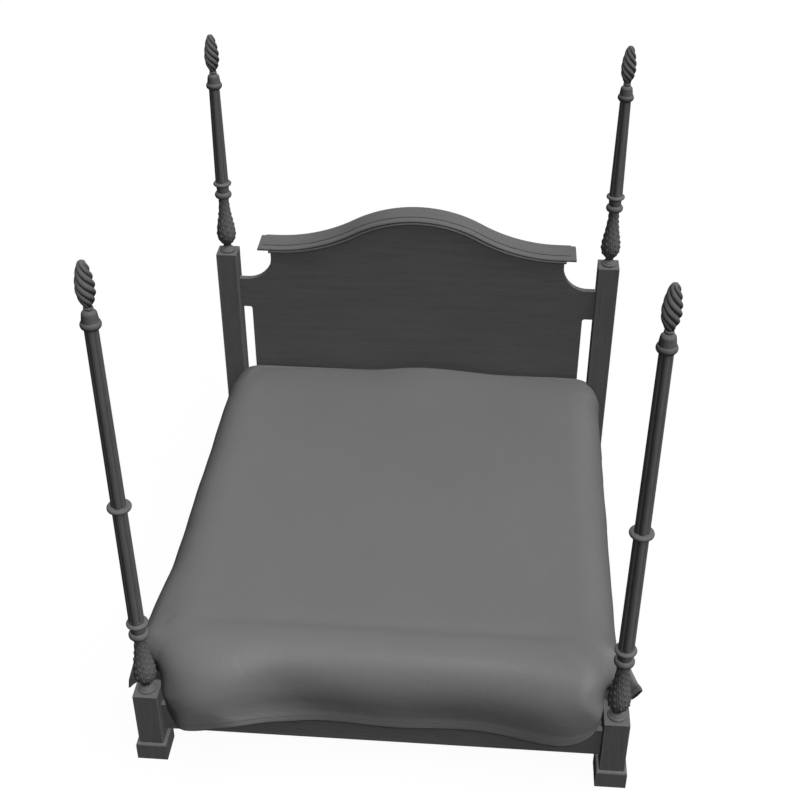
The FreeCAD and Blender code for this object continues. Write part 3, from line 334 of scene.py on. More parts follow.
def coverlet_cloth(name, colour):
    """Close woven coverlet: a fine weave on the cloth's own flat coordinates, soft creases, and a
    hem turned up and sewn with a line of stitches. The hem's fold line is sunk and painted darker:
    painted shade in its groove."""
    finish = Finish(name)
    flat = finish.node("ShaderNodeTexCoord")[2]
    u, v = finish.axes(flat)[:2]
    weave = u.wave(COVER_THREAD) * v.wave(COVER_THREAD)
    slubs = finish.noise(finish.stretched(flat, (1.0, 0.05, 1.0)), scale=150.0)
    cross = finish.noise(finish.stretched(flat, (0.05, 1.0, 1.0)), scale=150.0)
    cloud = finish.noise(flat, scale=2.6)
    creases = finish.noise(flat, scale=7.0, detail=4.0, distortion=0.6)
    up = finish.measure("hem_up")
    run = finish.measure("hem_run")
    fold_line = bell(finish, up, HEM_WIDTH, 0.0016)
    stitch = finish.ease(0.1, 0.5, run.wave(STITCH_PITCH)) * bell(finish, up, STITCH_LINE, 0.0011)
    hem = 1.0 - finish.ease(0.0, HEM_WIDTH, up)
    # The fold line is painted darker here: painted shade in the hem's groove.
    tone = (1.0 + 0.05 * weave + 0.07 * slubs + 0.05 * cross + 0.07 * cloud
            - 0.16 * fold_line + 0.12 * stitch)
    height = (0.10 * weave + 0.22 * slubs + 0.18 * cross + 1.6 * creases
              - 0.9 * fold_line + 0.5 * stitch)
    rough = 0.39 + 0.06 * cloud - 0.02 * hem
    normal = finish.bump(height, COVER_BUMP)
    return finish.done(finish.tint(colour, tone), rough, normal, lustre(COVER_LUSTRE))


def bell(finish, value, place, width):
    """1 where value is at place, and 0 beyond width to either side."""
    return 1.0 - finish.ease(0.3 * width, width, (value - place).size())


# Camera, light and floor

def set_camera():
    """The photograph's camera, which stands to the right of the foot and looks down."""
    data = bpy.data.cameras.new("camera")
    data.lens = CAMERA_LENS_MM
    data.sensor_width = CAMERA_SENSOR_MM
    data.sensor_fit = "AUTO"
    camera = add_object("camera", data)
    camera.location = CAMERA_PLACE
    camera.rotation_euler = Euler(np.radians((90.0 - CAMERA_DOWN, 0.0, CAMERA_LEFT)))
    bpy.context.scene.camera = camera


def seen_rays(finish):
    """1 for camera, mirror and glass rays, and 0 for the rays that carry light."""
    path = finish.node("ShaderNodeLightPath")
    camera, glossy, through = path[0], path[3], path[6]
    return camera.most(glossy).most(through)


def set_light():
    """Two suns from one place, a narrow and a wide one, under a white sky that gives little light."""
    for name, (energy, wide, shadows) in SUNS.items():
        data = bpy.data.lights.new(name, "SUN")
        data.energy = energy
        data.angle = np.radians(wide)
        data.use_shadow = shadows
        add_object(name, data).rotation_euler = Vector(SUN_FROM).to_track_quat("Z", "Y").to_euler()
    scene = bpy.context.scene
    scene.world = bpy.data.worlds.new("studio")
    finish = Finish("studio", scene.world)
    strength = SKY_LIGHT + (1.0 - SKY_LIGHT) * seen_rays(finish)
    sky = finish.node("ShaderNodeBackground", {}, {"Color": WHITE, "Strength": strength})[0]
    finish.node("ShaderNodeOutputWorld", {}, {"Surface": sky})
    scene.view_settings.view_transform = "Standard"


def set_floor():
    """A flat floor, white where it is seen and dim for the light that it throws back."""
    finish = Finish("floor_paint")
    pale = finish.node("ShaderNodeBsdfDiffuse", {}, {"Color": FLOOR_PALE})[0]
    glow = finish.node("ShaderNodeEmission", {}, {"Color": WHITE, "Strength": FLOOR_GLOW})[0]
    seen = finish.node("ShaderNodeMixShader", {}, {0: FLOOR_GLOW_SHARE, 1: pale, 2: glow})[0]
    dim = finish.node("ShaderNodeBsdfDiffuse", {}, {"Color": FLOOR_DIM})[0]
    shader = finish.node("ShaderNodeMixShader", {}, {0: seen_rays(finish), 1: dim, 2: seen})[0]
    finish.node("ShaderNodeOutputMaterial", {}, {"Surface": shader})
    corners = [(FLOOR_HALF * x, FLOOR_HALF * y, 0.0) for x, y in ((-1, -1), (1, -1), (1, 1), (-1, 1))]
    mesh = bpy.data.meshes.new("floor")
    mesh.from_pydata(corners, [], [(0, 1, 2, 3)])
    mesh.materials.append(finish.material)
    floor = add_object("floor", mesh)


# Carved vases

# The turned outline, as (height, radius): bead, cove, cup and flank.
VASE_LINE = np.array([
    (0.0, 0.0303), (0.003, 0.0362), (0.0075, 0.0390), (0.0115, 0.0382), (0.0140, 0.0358), (0.0153, 0.0322),
    (0.0170, 0.0304), (0.0190, 0.0298), (0.0210, 0.0278), (0.0250, 0.0232), (0.0300, 0.0199),
    (0.0350, 0.0188), (0.0400, 0.0201), (0.0470, 0.0247), (0.0550, 0.0318), (0.066, 0.0397),
    (0.082, 0.0452), (0.100, 0.0468), (0.125, 0.0450), (0.160, 0.0392), (0.196, 0.0328), (0.235, 0.0276),
    (0.265, 0.0252), (0.2955, 0.0245)])
NECK_FROM = 0.2955
NECK_RADIUS, NECK_GROWTH = 0.0245, 0.0055
# Each ring's middle height, half height, radius at its foot and radius at its middle.
VASE_RINGS = ((0.312, 0.016, 0.0270, 0.041), (0.371, 0.0095, 0.0300, 0.044))
VASE_TOP = 0.390
VASE_FOOT = {-1: FOOT_BLOCK_TOP, 1: 1.2335}
VASE_GRID_RINGS, VASE_GRID_COLUMNS = 300, 240
# The carving starts at a scalloped edge, over this height, and fades out over that one.
CARVED_FROM, CARVED_TO = 0.052, 0.290
SCALLOP = 0.010
CARVED_START, CARVED_FADE = 0.008, 0.02
# The radius at which the grains have their full depth. They are shallower on the slim parts.
CARVED_RADIUS = 0.0463
GRAIN_COLUMNS = 12
GRAIN_PITCH = 0.031
GRAIN_DEPTH = 0.0036
GRAIN_LEAN = 0.25
# Half the width and half the height of a grain, as shares of its column and its row.
GRAIN_WIDE, GRAIN_TALL = 0.16, 0.28
# The ridge on a column's border, and how far the ground lies below the outline, as shares of the depth.
BORDER_WIDTH, BORDER_SHARE = 0.06, 0.2
GROUND_SHARE = 0.3


def vase_radius(height):
    """The turned outline: the belly from its own points, then two half-round rings on a neck."""
    belly = np.interp(height, *VASE_LINE.T)
    neck = NECK_RADIUS + NECK_GROWTH * step_between(0.300, 0.340, height)
    radius = np.where(height < NECK_FROM, belly, neck)
    for middle, half, foot, out in VASE_RINGS:
        share = np.clip(1 - ((height - middle) / half) ** 2, 0.0, 1.0)
        ring = foot + (out - foot) * np.sqrt(share)
        radius = np.where(share > 0, np.maximum(radius, ring), radius)
    return radius


def carved_vase(corner, finish):
    """A turned vase with raised grains cut into its belly.

    Radius = outline + depth * (grain + ridge - ground). A grain is the upper half of an ellipsoid,
    sqrt(1 - a^2 - b^2), where a runs round the vase and b up it, in staggered columns that lean a
    little. A fine ridge follows each column's border, and the carving starts at a scalloped edge and
    fades out under the lower ring.
    """
    side, end = CORNERS[corner]
    node = corner + "_vase"
    middle_x, middle_y, low = side * POST_X, end * POST_Y, VASE_FOOT[end]
    rings, columns = VASE_GRID_RINGS, VASE_GRID_COLUMNS
    up, around = np.meshgrid(np.linspace(0.0, VASE_TOP, rings),
                             np.linspace(0.0, TURN, columns, endpoint=False), indexing="ij")
    radius = vase_radius(up)
    climb = (up - CARVED_FROM) / GRAIN_PITCH
    column = around * GRAIN_COLUMNS / TURN + GRAIN_LEAN * climb
    place = column - np.floor(column) - 0.5
    row = climb + 0.5 * (np.floor(column) % 2)
    row = row - np.floor(row) - 0.5
    grain = np.sqrt(np.clip(1 - (place / GRAIN_WIDE) ** 2 - (row / GRAIN_TALL) ** 2, 0.0, 1.0))
    ridge = BORDER_SHARE * bump_at(0.5, BORDER_WIDTH, np.abs(place))
    start = CARVED_FROM + SCALLOP * np.cos(around * GRAIN_COLUMNS)
    carved = step_between(0.0, CARVED_START, up - start)
    carved = carved * (1 - step_between(CARVED_TO - CARVED_FADE, CARVED_TO, up))
    depth = GRAIN_DEPTH * (0.45 + 0.55 * radius / CARVED_RADIUS)
    radius = radius + carved * depth * (grain + ridge - GROUND_SHARE)
    x = middle_x + radius * np.cos(around)
    y = middle_y + radius * np.sin(around)
    poles = [(middle_x, middle_y, low), (middle_x, middle_y, low + VASE_TOP)]
    vertices = np.concatenate([np.stack([x, y, low + up], axis=-1).reshape(-1, 3), poles])
    first_pole = rings * columns
    triangles = np.concatenate([
        pole_faces(first_pole, 0, columns),
        pole_faces(first_pole + 1, (rings - 1) * columns, columns, last_pole=True)])
    piece = add_piece(node + "_carved", vertices, ring_faces(rings, columns), triangles, finish)
    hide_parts(node)


# Coverlet

COVER_TOP = 0.590
COVER_THICKNESS = 0.008
# Rings of the grid down the drops and on the top, where they gather towards the edge by this power.
SHOULDER_RINGS, TOP_RINGS = 66, 18
TOP_GATHER = 1.6
TOP_MIDDLE_Y = 0.055
# Columns of the grid on each run of the outline, from the head end of the left side round the foot.
SIDE_COLUMNS, FOOT_COLUMNS, HEAD_COLUMNS, TUCK_COLUMNS = 110, 90, 40, 16
CORNER_COLUMNS = 2 * TUCK_COLUMNS
# Blurs round the outline, in columns: of the rings at the top and lower down, the hem, and the ways to hang.
TOP_BLUR, LOW_BLUR, HEM_BLUR, HANG_BLUR = 3.0, 1.1, 1.5, 6.0
# Where each drop leaves the top, how far it reaches out and down, how full its shoulder is, and how far
# out and how high its hem is.
BASE_HEM = 0.265
SIDE_FROM = 0.780
SIDE_SHOULDER = (SIDE_FROM, 0.972, 0.190, 2.35, 0.984, BASE_HEM)
FOOT_SHOULDER = (0.890, 1.117, 0.203, 2.35, 1.114, BASE_HEM)
HEAD_SHOULDER = (1.000, 1.049, 0.055, 2.2, 1.050, 0.500)
# Beyond this y the cloth hangs at the head end.
HEAD_FROM = 1.02
# Radius of the corners in plan, and how much it grows at the foot and shrinks at the head, lower down.
CORNER_RADIUS, FOOT_CORNER_GROWTH, HEAD_CORNER_LOSS = 0.115, 0.095, 0.03
# The tip of a side drop, the place behind the post where the cloth tucks in, and its fold's fullness.
TIP_Y = 1.0
TUCK_X, TUCK_Y = 0.8990, 1.003
TUCK_FULL = 0.75
# Levels between which the foot corners change from round to tucked in, and how far the fold runs across.
TUCK_LEVELS = (0.50, 0.84)
TUCK_RUN = {-1: (0.045, 0.17), 1: (0.022, 0.06)}
# Height of the foot drop's hem at each x.
FOOT_HEM = np.array([
    (-0.885, 0.268), (-0.80, 0.276), (-0.71, 0.291), (-0.646, 0.305), (-0.566, 0.318), (-0.485, 0.303),
    (-0.363, 0.274), (-0.20, 0.267), (0.10, 0.262), (0.37, 0.262), (0.58, 0.258), (0.74, 0.274),
    (0.80, 0.292), (0.85, 0.330), (0.885, 0.360)])
# Height of the hem at the tip of the side drop, on its flap, and where the cloth tucks in behind the post.
TIP_HEM = {-1: 0.266, 1: 0.444}
FLAP_HEM = {-1: 0.318, 1: 0.350}
TUCK_HEM = {-1: 0.318, 1: 0.386}
# How far along the side drop its hem changes towards the tip.
TIP_WIDTH = {-1: 0.10, 1: 0.064}
# A side drop's hem away from its tip: mean height, and two waves' heights and lengths.
SIDE_HEM = 0.255
SIDE_HEM_WAVES = (0.012, 0.62), (0.006, 0.23)
# Folds of the side drops: two waves' shares and lengths, and how far they swing out at the hem.
SIDE_FOLDS = (0.55, 0.262), (0.45, 0.41)
SIDE_SWING = 0.012
# How far along the side drop its flared tip reaches.
FLARE_WIDTH = 0.15
# How much wider the left and the right drop get, as a share of what they stand out, and the left one's
# fullness near the foot.
SIDE_WIDER = 0.065, -0.04
LEFT_FULL = 0.025
# How far the tip of the side drop stands out at each height of the drop.
TIP_FLARE = {
    -1: np.array([(0.265, 0.082), (0.311, 0.080), (0.38, 0.066), (0.443, 0.060), (0.50, 0.062),
                  (0.549, 0.045), (0.57, 0.010), (0.59, 0.0)]),
    1: np.array([(0.265, 0.075), (0.303, 0.071), (0.381, 0.049), (0.457, 0.027), (0.52, 0.010), (0.59, 0.0)])}
# The foot drop's fuller ends: their place, their widths to the left and right, how far they stand out at
# the top, and how much more for each metre that the cloth has fallen.
LEFT_END = -0.72, (0.15, 0.24), 0.026, 0.38
RIGHT_END = 0.78, (0.19, 0.19), 0.018, 0.25
# The right end grows only over this first part of the fall, and softly stops.
RIGHT_END_FALL, RIGHT_END_BLEND = 0.21, 0.08
# Between them: a wave's height, length and mean, a hollow's place, width and depth, and the hem's kick.
FOOT_WAVE = 0.006, 0.55, -0.004
FOOT_HOLLOW = -0.40, 0.16, 0.012
HEM_KICK = 0.006
# Where the foot drop's form starts on the top, and how far out any of it goes at most.
FOOT_FROM = 0.80
FOOT_LIMIT, FOOT_LIMIT_BLEND = 1.222, 0.02
# Heights of the top's broad swell and of its finer one.
BROAD_SWELL, FINE_SWELL = 0.0022, 0.0012
# The top's dip before the foot: place, width, depth and the x where it ends.
TOP_DIP = -0.868, 0.032, 0.006, 0.85
# Its rise over the pillows as y, width and height, then x and the widths to its left and right.
PILLOW_RISE = (1.02, 0.17, 0.042), (0.05, (0.24, 0.35))
# Its droop beyond the pillows: place, width and depth.
HEAD_DROOP = 1.03, 0.12, 0.016
# Heights between which the top ends and the drops start.
TOP_LEVELS = 0.570, 0.588
# Room that the cloth keeps: lines beside the blocks, the blocks' outer sides, and a gap round the vases.
POST_CLEAR_X, POST_CLEAR_Y = 0.9005, 1.0145
POST_PAST_X, POST_PAST_Y = 1.02, 1.135
VASE_CLEAR = 0.005
# Height above the foot block from which the cloth keeps clear of the vase instead of the block.
ABOVE_BLOCK = 0.010


def shoulder(start, reach, drop, fullness, hem_reach, hem):
    """A drop's outline as distances out and heights, at even steps of its own length.

    A quarter of a superellipse from the level top, out = a * sin(q)^(2/n), down = b * (1 - cos(q)^(2/n)),
    then a nearly straight hang to the hem.
    """
    quarter = np.linspace(0.0, QUARTER, 400)
    out = start + (reach - start) * np.sin(quarter) ** (2 / fullness)
    high = COVER_TOP - drop * (1 - np.clip(np.cos(quarter), 0, 1) ** (2 / fullness))
    hang = np.linspace(0.0, 1.0, 200)[1:]
    out = np.concatenate([out, reach + (hem_reach - reach) * hang])
    high = np.concatenate([high, COVER_TOP - drop + (hem - COVER_TOP + drop) * hang])
    length = np.concatenate([[0.0], np.cumsum(np.hypot(np.diff(out), np.diff(high)))])
    even = np.linspace(0.0, length[-1], SHOULDER_RINGS)
    return np.interp(even, length, out), np.interp(even, length, high)


def run_between(start, end, columns):
    """Points of a straight run for every ring: start and end are (rings, 3) arrays."""
    share = np.linspace(0.0, 1.0, columns, endpoint=False)[None, :, None]
    return start[:, None, :] * (1 - share) + end[:, None, :] * share


def soften(values, widths):
    """Each ring blurred round its outline by a bell of its own width, counted in columns."""
    waves = np.fft.rfftfreq(values.shape[1])
    keep = np.exp(-2 * (np.pi * waves[None, :, None] * widths[:, None, None]) ** 2)
    return np.fft.irfft(np.fft.rfft(values, axis=1) * keep, n=values.shape[1], axis=1)


def corner_arc(out, far, around):
    """A quarter circle in plan from (out, far - around) to (out - around, far), for every ring."""
    angle = np.linspace(0.0, QUARTER, CORNER_COLUMNS + 1)[None, :]
    around = around[:, None]
    return out[:, None] - around * (1 - np.cos(angle)), far[:, None] - around * (1 - np.sin(angle))


def foot_corner(end, level, side, foot):
    """The corner from the tip of the side drop to the foot drop, for every ring, as (x, y, z).

    High up it is a quarter circle about the mattress's corner. Lower down the side drop ends in a
    flap behind the post, and the foot drop starts as a quarter of a superellipse beside the post.
    side and foot are the shoulders of the two drops, and end is -1 for the left corner and 1 for the right.
    """
    out, far = side[0][:, None], foot[0][:, None]
    share = np.linspace(0.0, 1.0, CORNER_COLUMNS + 1)[None, :]
    radius = CORNER_RADIUS + FOOT_CORNER_GROWTH * step_between(0.2, 0.62, level)
    round_x, round_y = corner_arc(side[0], foot[0], radius)
    flap = np.clip(2 * share, 0.0, 1.0)
    bend = np.clip(2 * share - 1, 0.0, 0.9999) * QUARTER
    near, wide = TUCK_RUN[end]
    across = near + (wide - near) * step_between(0.72, 1.0, level)[:, None]
    tuck_x = out + (TUCK_X - out) * flap - across * (1 - np.cos(bend) ** TUCK_FULL)
    tuck_y = TIP_Y + (TUCK_Y - TIP_Y) * flap + (far - TUCK_Y) * np.sin(bend) ** TUCK_FULL
    tucked = step_between(*TUCK_LEVELS, level)[:, None]
    x = end * (round_x + (tuck_x - round_x) * tucked)
    y = -(round_y + (tuck_y - round_y) * tucked)
    turned = step_between(0.0, 1.0, share)
    z = side[1][:, None] * (1 - turned) + foot[1][:, None] * turned
    return np.stack([x, y, z], axis=-1)


def cover_outlines(level, side, foot, head):
    """The cloth's outline at every level of its drops, as (rings, columns, 3), before hems and folds."""
    left = foot_corner(-1, level, side, foot)
    right = foot_corner(1, level, side, foot)[:, ::-1]
    radius = CORNER_RADIUS - HEAD_CORNER_LOSS * step_between(0.2, 0.7, level)
    arc_x, arc_y = corner_arc(side[0], head[0], radius)
    turned = step_between(0.0, 1.0, np.linspace(0.0, 1.0, CORNER_COLUMNS + 1))[None]
    arc_z = side[1][:, None] * (1 - turned) + head[1][:, None] * turned
    right_head = np.stack([arc_x, arc_y, arc_z], axis=-1)
    left_head = (right_head * (-1, 1, 1))[:, ::-1]
    rings = np.concatenate([
        run_between(left_head[:, -1], left[:, 0], SIDE_COLUMNS), left[:, :-1],
        run_between(left[:, -1], right[:, 0], FOOT_COLUMNS), right[:, :-1],
        run_between(right[:, -1], right_head[:, 0], SIDE_COLUMNS), right_head[:, :-1],
        run_between(right_head[:, -1], left_head[:, 0], HEAD_COLUMNS), left_head[:, :-1]], axis=1)
    return soften(rings, TOP_BLUR + (LOW_BLUR - TOP_BLUR) * step_between(0.1, 0.6, level))


def column_weights():
    """Every column's weight as part of a side drop and of the foot drop, and whether it is on the left."""
    side, foot, tuck = np.ones(SIDE_COLUMNS), np.ones(FOOT_COLUMNS), np.zeros(TUCK_COLUMNS)
    rest = np.zeros(2 * CORNER_COLUMNS + HEAD_COLUMNS)
    rise = np.linspace(0.0, 1.0, TUCK_COLUMNS, endpoint=False)
    on_side = np.concatenate([side, 1 - rise, tuck, 0 * foot, tuck, rise, side, rest])
    on_foot = np.concatenate([0 * side, tuck, np.sin(rise * QUARTER), foot,
                              np.cos(rise * QUARTER), tuck, 0 * side, rest])
    is_left = np.arange(len(on_side)) < SIDE_COLUMNS + CORNER_COLUMNS
    return on_side[None], on_foot[None], is_left[None]


def side_hem(end, along):
    """Height of a side drop's hem: two waves, and a bell towards the tip."""
    (long_rise, long), (short_rise, short) = SIDE_HEM_WAVES
    waved = SIDE_HEM + long_rise * np.sin(along * TURN / long + 1.3)
    waved = waved + short_rise * np.sin(along * TURN / short)
    return waved + (TIP_HEM[end] - waved) * bump_at(-TIP_Y, TIP_WIDTH[end], along)


def corner_hem(end, across):
    """Height of the hem from the tip over the flap to the tuck, and from there along the foot drop."""
    rise = np.linspace(0.0, 1.0, TUCK_COLUMNS, endpoint=False)
    flap = TIP_HEM[end] + (FLAP_HEM[end] - TIP_HEM[end]) * step_between(0.0, 0.35, rise)
    flap = flap + (TUCK_HEM[end] - FLAP_HEM[end]) * step_between(0.5, 1.0, rise)
    foot = TUCK_HEM[end] + (np.interp(across, *FOOT_HEM.T) - TUCK_HEM[end]) * step_between(0.0, 1.0, rise)
    return np.concatenate([flap, foot])


def cover_hem(x, y, z):
    """Height of the hem at every column of the lowest outline, softened along it."""
    left_corner = SIDE_COLUMNS
    foot = left_corner + CORNER_COLUMNS
    right_corner = foot + FOOT_COLUMNS
    right_side = right_corner + CORNER_COLUMNS
    head = right_side + SIDE_COLUMNS
    hem = np.concatenate([
        side_hem(-1, y[:left_corner]),
        corner_hem(-1, x[left_corner + TUCK_COLUMNS:foot]),
        np.interp(x[foot:right_corner], *FOOT_HEM.T),
        corner_hem(1, x[right_corner:right_corner + TUCK_COLUMNS][::-1])[::-1],
        side_hem(1, y[right_side:head]),
        z[head:]])
    return soften(hem[None, :, None], np.array([HEM_BLUR]))[0, :, 0]


def fold_sides(x, y, unhemmed, down, on_side, is_left):
    """x with the side drops' folds: a sum of two sines along the drop that grows downwards.

    The left drop also widens and is fuller near its foot, and both tips flare out. unhemmed is z
    before the hems were cut.
    """
    tip = on_side * np.where(on_side > 0.999, bump_at(-TIP_Y, FLARE_WIDTH, y), 1.0)
    (short_share, short), (long_share, long) = SIDE_FOLDS
    fold = (short_share * np.sin(y * TURN / short + 0.6 * (1 - is_left) + 0.5)
            + long_share * np.sin(y * TURN / long + 2.1 * is_left))
    swing = SIDE_SWING * step_between(0.5, 1.0, down) * fold
    wider = np.clip(np.abs(x) - SIDE_FROM, 0.0, None) * np.where(is_left, *SIDE_WIDER)
    full = LEFT_FULL * is_left * step_between(0.45, 0.75, -y) * step_between(0.08, 0.35, down)
    flare = np.where(is_left, np.interp(unhemmed, *TIP_FLARE[-1].T), np.interp(unhemmed, *TIP_FLARE[1].T))
    return x + np.sign(x) * (on_side * (wider + swing + full) * (1 - tip) + tip * flare)


def fill_foot(x, y, unhemmed, down, foot_out):
    """y with the foot drop's form: bells at both ends that grow downwards, and a low wave between them.

    The weight is 0 on the top and 1 at the drop's own line, and the hem kicks out a little.
    """
    fallen = COVER_TOP - unhemmed
    place, widths, stands, grows = LEFT_END
    left_end = uneven_bump(place, widths, x) * (stands + grows * fallen)
    place, widths, stands, grows = RIGHT_END
    grown = grows * lesser(fallen, RIGHT_END_FALL, RIGHT_END_BLEND)
    right_end = uneven_bump(place, widths, x) * (stands + grown)
    rise, pitch, mean = FOOT_WAVE
    wave = step_between(0.35, 1.0, down) * (rise * np.sin(x * TURN / pitch + 0.9) + mean)
    place, width, depth = FOOT_HOLLOW
    hollow = depth * bump_at(place, width, x)
    hollow = hollow * step_between(0.35, 0.6, down) * (1 - step_between(0.75, 1.0, down))
    kick = HEM_KICK * step_between(0.86, 1.0, down)
    far = foot_out[:, None]
    above = np.clip((-y - FOOT_FROM) / (far - FOOT_FROM), 0.0, 1.0) ** 2
    below = np.clip((-y - TUCK_Y) / np.maximum(far - TUCK_Y, 0.02), 0.0, 1.0)
    weight = above + (below - above) * step_between(0.4, 0.8, down)
    out = -y + weight * (left_end + right_end + wave - hollow + kick)
    return -lesser(out, FOOT_LIMIT, FOOT_LIMIT_BLEND)


def clear_posts(x, y, z):
    """x and y with the cloth clear of the posts: of the square blocks, and above them of the round vases."""
    inside_x = POST_CLEAR_X - np.abs(x)
    inside_y = POST_CLEAR_Y - np.abs(y)
    above_block = FOOT_BLOCK_TOP + ABOVE_BLOCK
    block = (inside_x < 0) & (inside_y < 0) & (np.abs(y) < POST_PAST_Y) & (np.abs(x) < POST_PAST_X)
    block &= (y > 0) | (z < above_block)
    nearer_x = np.abs(inside_x) < np.abs(inside_y)
    x = np.where(block & nearer_x, np.sign(x) * POST_CLEAR_X, x)
    y = np.where(block & ~nearer_x, np.sign(y) * POST_CLEAR_Y, y)
    from_x, from_y = np.abs(x) - POST_X, np.abs(y) - POST_Y
    apart = np.hypot(from_x, from_y)
    wanted = vase_radius(np.clip(z - FOOT_BLOCK_TOP, 0.0, CARVED_TO)) + VASE_CLEAR
    near_vase = (y < 0) & (z >= above_block) & (apart < wanted)
    push = np.where(near_vase, wanted / np.maximum(apart, 1e-4) - 1, 0.0)
    return x + np.sign(x) * from_x * push, y + np.sign(y) * from_y * push


def with_top(x, y, z):
    """The drops' rings with the top's before them, as (rings, columns, 3).

    The top is the first outline drawn in towards a point in the middle. It swells by products of
    sines, dips in a line before the foot, rises in bells over the pillows and droops beyond them.
    """
    shrink = (1 - (np.arange(TOP_RINGS, 0, -1) / TOP_RINGS) ** TOP_GATHER)[1:, None]
    top_x = shrink * x[0]
    x = np.concatenate([top_x, x])
    y = np.concatenate([TOP_MIDDLE_Y + shrink * (y[0] - TOP_MIDDLE_Y), y])
    z = np.concatenate([np.full_like(top_x, COVER_TOP), z])
    swell = BROAD_SWELL * np.sin(x * 3.1 + 0.4) * np.sin(y * 2.7 + 1.1)
    swell = swell + FINE_SWELL * np.sin(x * 7.3 + y * 4.1)
    place, width, depth, end = TOP_DIP
    dip = depth * bump_at(place, width, y) * step_between(0.0, 0.2, end - np.abs(x))
    (place, width, height), (top, widths) = PILLOW_RISE
    rise = height * bump_at(place, width, y) * uneven_bump(top, widths, x)
    place, width, depth = HEAD_DROOP
    droop = depth * bump_at(place, width, y)
    flatness = step_between(*TOP_LEVELS, z)
    return np.stack([x, y, z + flatness * (swell - dip + rise - droop)], axis=-1)


def flat_places(shell, on_side, on_foot):
    """Flat coordinates, the length left to the hem, and the length along the hem, at every place of the grid.

    On the top the flat place is the place itself, stretched to the column's own length. On a drop it
    goes on from there, straight out, by the length that hangs.
    """
    steps = np.linalg.norm(np.diff(shell, axis=0), axis=-1)
    length = np.concatenate([np.zeros((1, shell.shape[1])), np.cumsum(steps, axis=0)])
    edge, low = shell[TOP_RINGS - 1], shell[-1]
    outwards = np.stack([edge[:, 0], edge[:, 1] - TOP_MIDDLE_Y], axis=-1)
    on_top = length[TOP_RINGS - 1]
    beyond = np.clip(length - on_top, 0.0, None)
    hang_to = np.stack([np.sign(low[:, 0]) * on_side[0], -on_foot[0] + (low[:, 1] > HEAD_FROM)], axis=-1)
    hang_to = soften(hang_to[None], np.array([HANG_BLUR]))[0]
    hang_to = hang_to / np.maximum(np.linalg.norm(hang_to, axis=-1, keepdims=True), 0.3)
    inner = np.clip(length / on_top, 0.0, 1.0)
    flat = inner[..., None] * outwards[None] + beyond[..., None] * hang_to[None]
    along = np.concatenate([[0.0], np.cumsum(np.linalg.norm(np.diff(low, axis=0), axis=-1))])
    return flat, length[-1][None] - length, np.broadcast_to(along, length.shape)


def make_coverlet(finish):
    """One cloth that lies on the mattress and hangs over both sides and the foot.

    Each ring of the grid is one outline of the cloth, seen from above. It is drawn through the
    sides, the foot corners, the foot drop and the head end, which move out and down along their own
    shoulders. The rings are blurred round the outline, each column is stretched to its hem, folds,
    flared tips and fuller ends are added, and the flat coordinates come from the cloth's lengths.
    """
    level = np.linspace(0.0, 1.0, SHOULDER_RINGS)
    side, foot, head = (shoulder(*values) for values in (SIDE_SHOULDER, FOOT_SHOULDER, HEAD_SHOULDER))
    x, y, unhemmed = np.moveaxis(cover_outlines(level, side, foot, head), -1, 0)
    down = np.broadcast_to(level[:, None], x.shape)
    on_side, on_foot, is_left = column_weights()
    hem = cover_hem(x[-1], y[-1], unhemmed[-1])
    z = COVER_TOP - (COVER_TOP - unhemmed) * (COVER_TOP - hem) / (COVER_TOP - unhemmed[-1])
    x = fold_sides(x, y, unhemmed, down, on_side, is_left)
    y = fill_foot(x, y, unhemmed, down, foot[0])
    x, y = clear_posts(x, y, z)
    shell = with_top(x, y, z)
    flat, hem_up, hem_run = flat_places(shell, on_side, on_foot)

    # The last vertex is the middle of the top, where all columns meet.
    vertices = np.concatenate([shell.reshape(-1, 3), [(0.0, TOP_MIDDLE_Y, COVER_TOP)]])
    uv = np.concatenate([flat.reshape(-1, 2), [(0.0, 0.0)]])
    measures = {"hem_up": np.append(hem_up.ravel(), hem_up[0].mean()),
                "hem_run": np.append(hem_run.ravel(), 0.0)}
    rings, columns = shell.shape[:2]
    piece = add_piece("coverlet_cloth", vertices, ring_faces(rings, columns),
                      pole_faces(rings * columns, 0, columns), finish, uv, measures)
    wall = piece.modifiers.new("thickness", "SOLIDIFY")
    wall.thickness = COVER_THICKNESS
    wall.offset = -1.0
    wall.use_even_offset = False
    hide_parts("coverlet")
    return piece


# Mattress and base, which the coverlet hides

PAD_COLUMNS, PAD_WALL_RINGS, PAD_FACE_RINGS = 200, 30, 12
PAD_POWER = 14.0
# The rounding of a pad's edges, how far it draws in as a share of its height, and the belly of its walls.
PAD_EDGE = 0.032
PAD_DRAW = 0.55
PAD_BELLY = 0.006
PIPING_WIDTH = 0.005


def rounded_outline(half_x, half_y):
    """A rounded rectangle at even angles: the superellipse |x / half_x|^n + |y / half_y|^n = 1."""
    angle = np.linspace(0.0, TURN, PAD_COLUMNS, endpoint=False)
    power = 2 / PAD_POWER
    x = half_x * np.sign(np.cos(angle)) * np.abs(np.cos(angle)) ** power
    y = half_y * np.sign(np.sin(angle)) * np.abs(np.sin(angle)) ** power
    return x, y


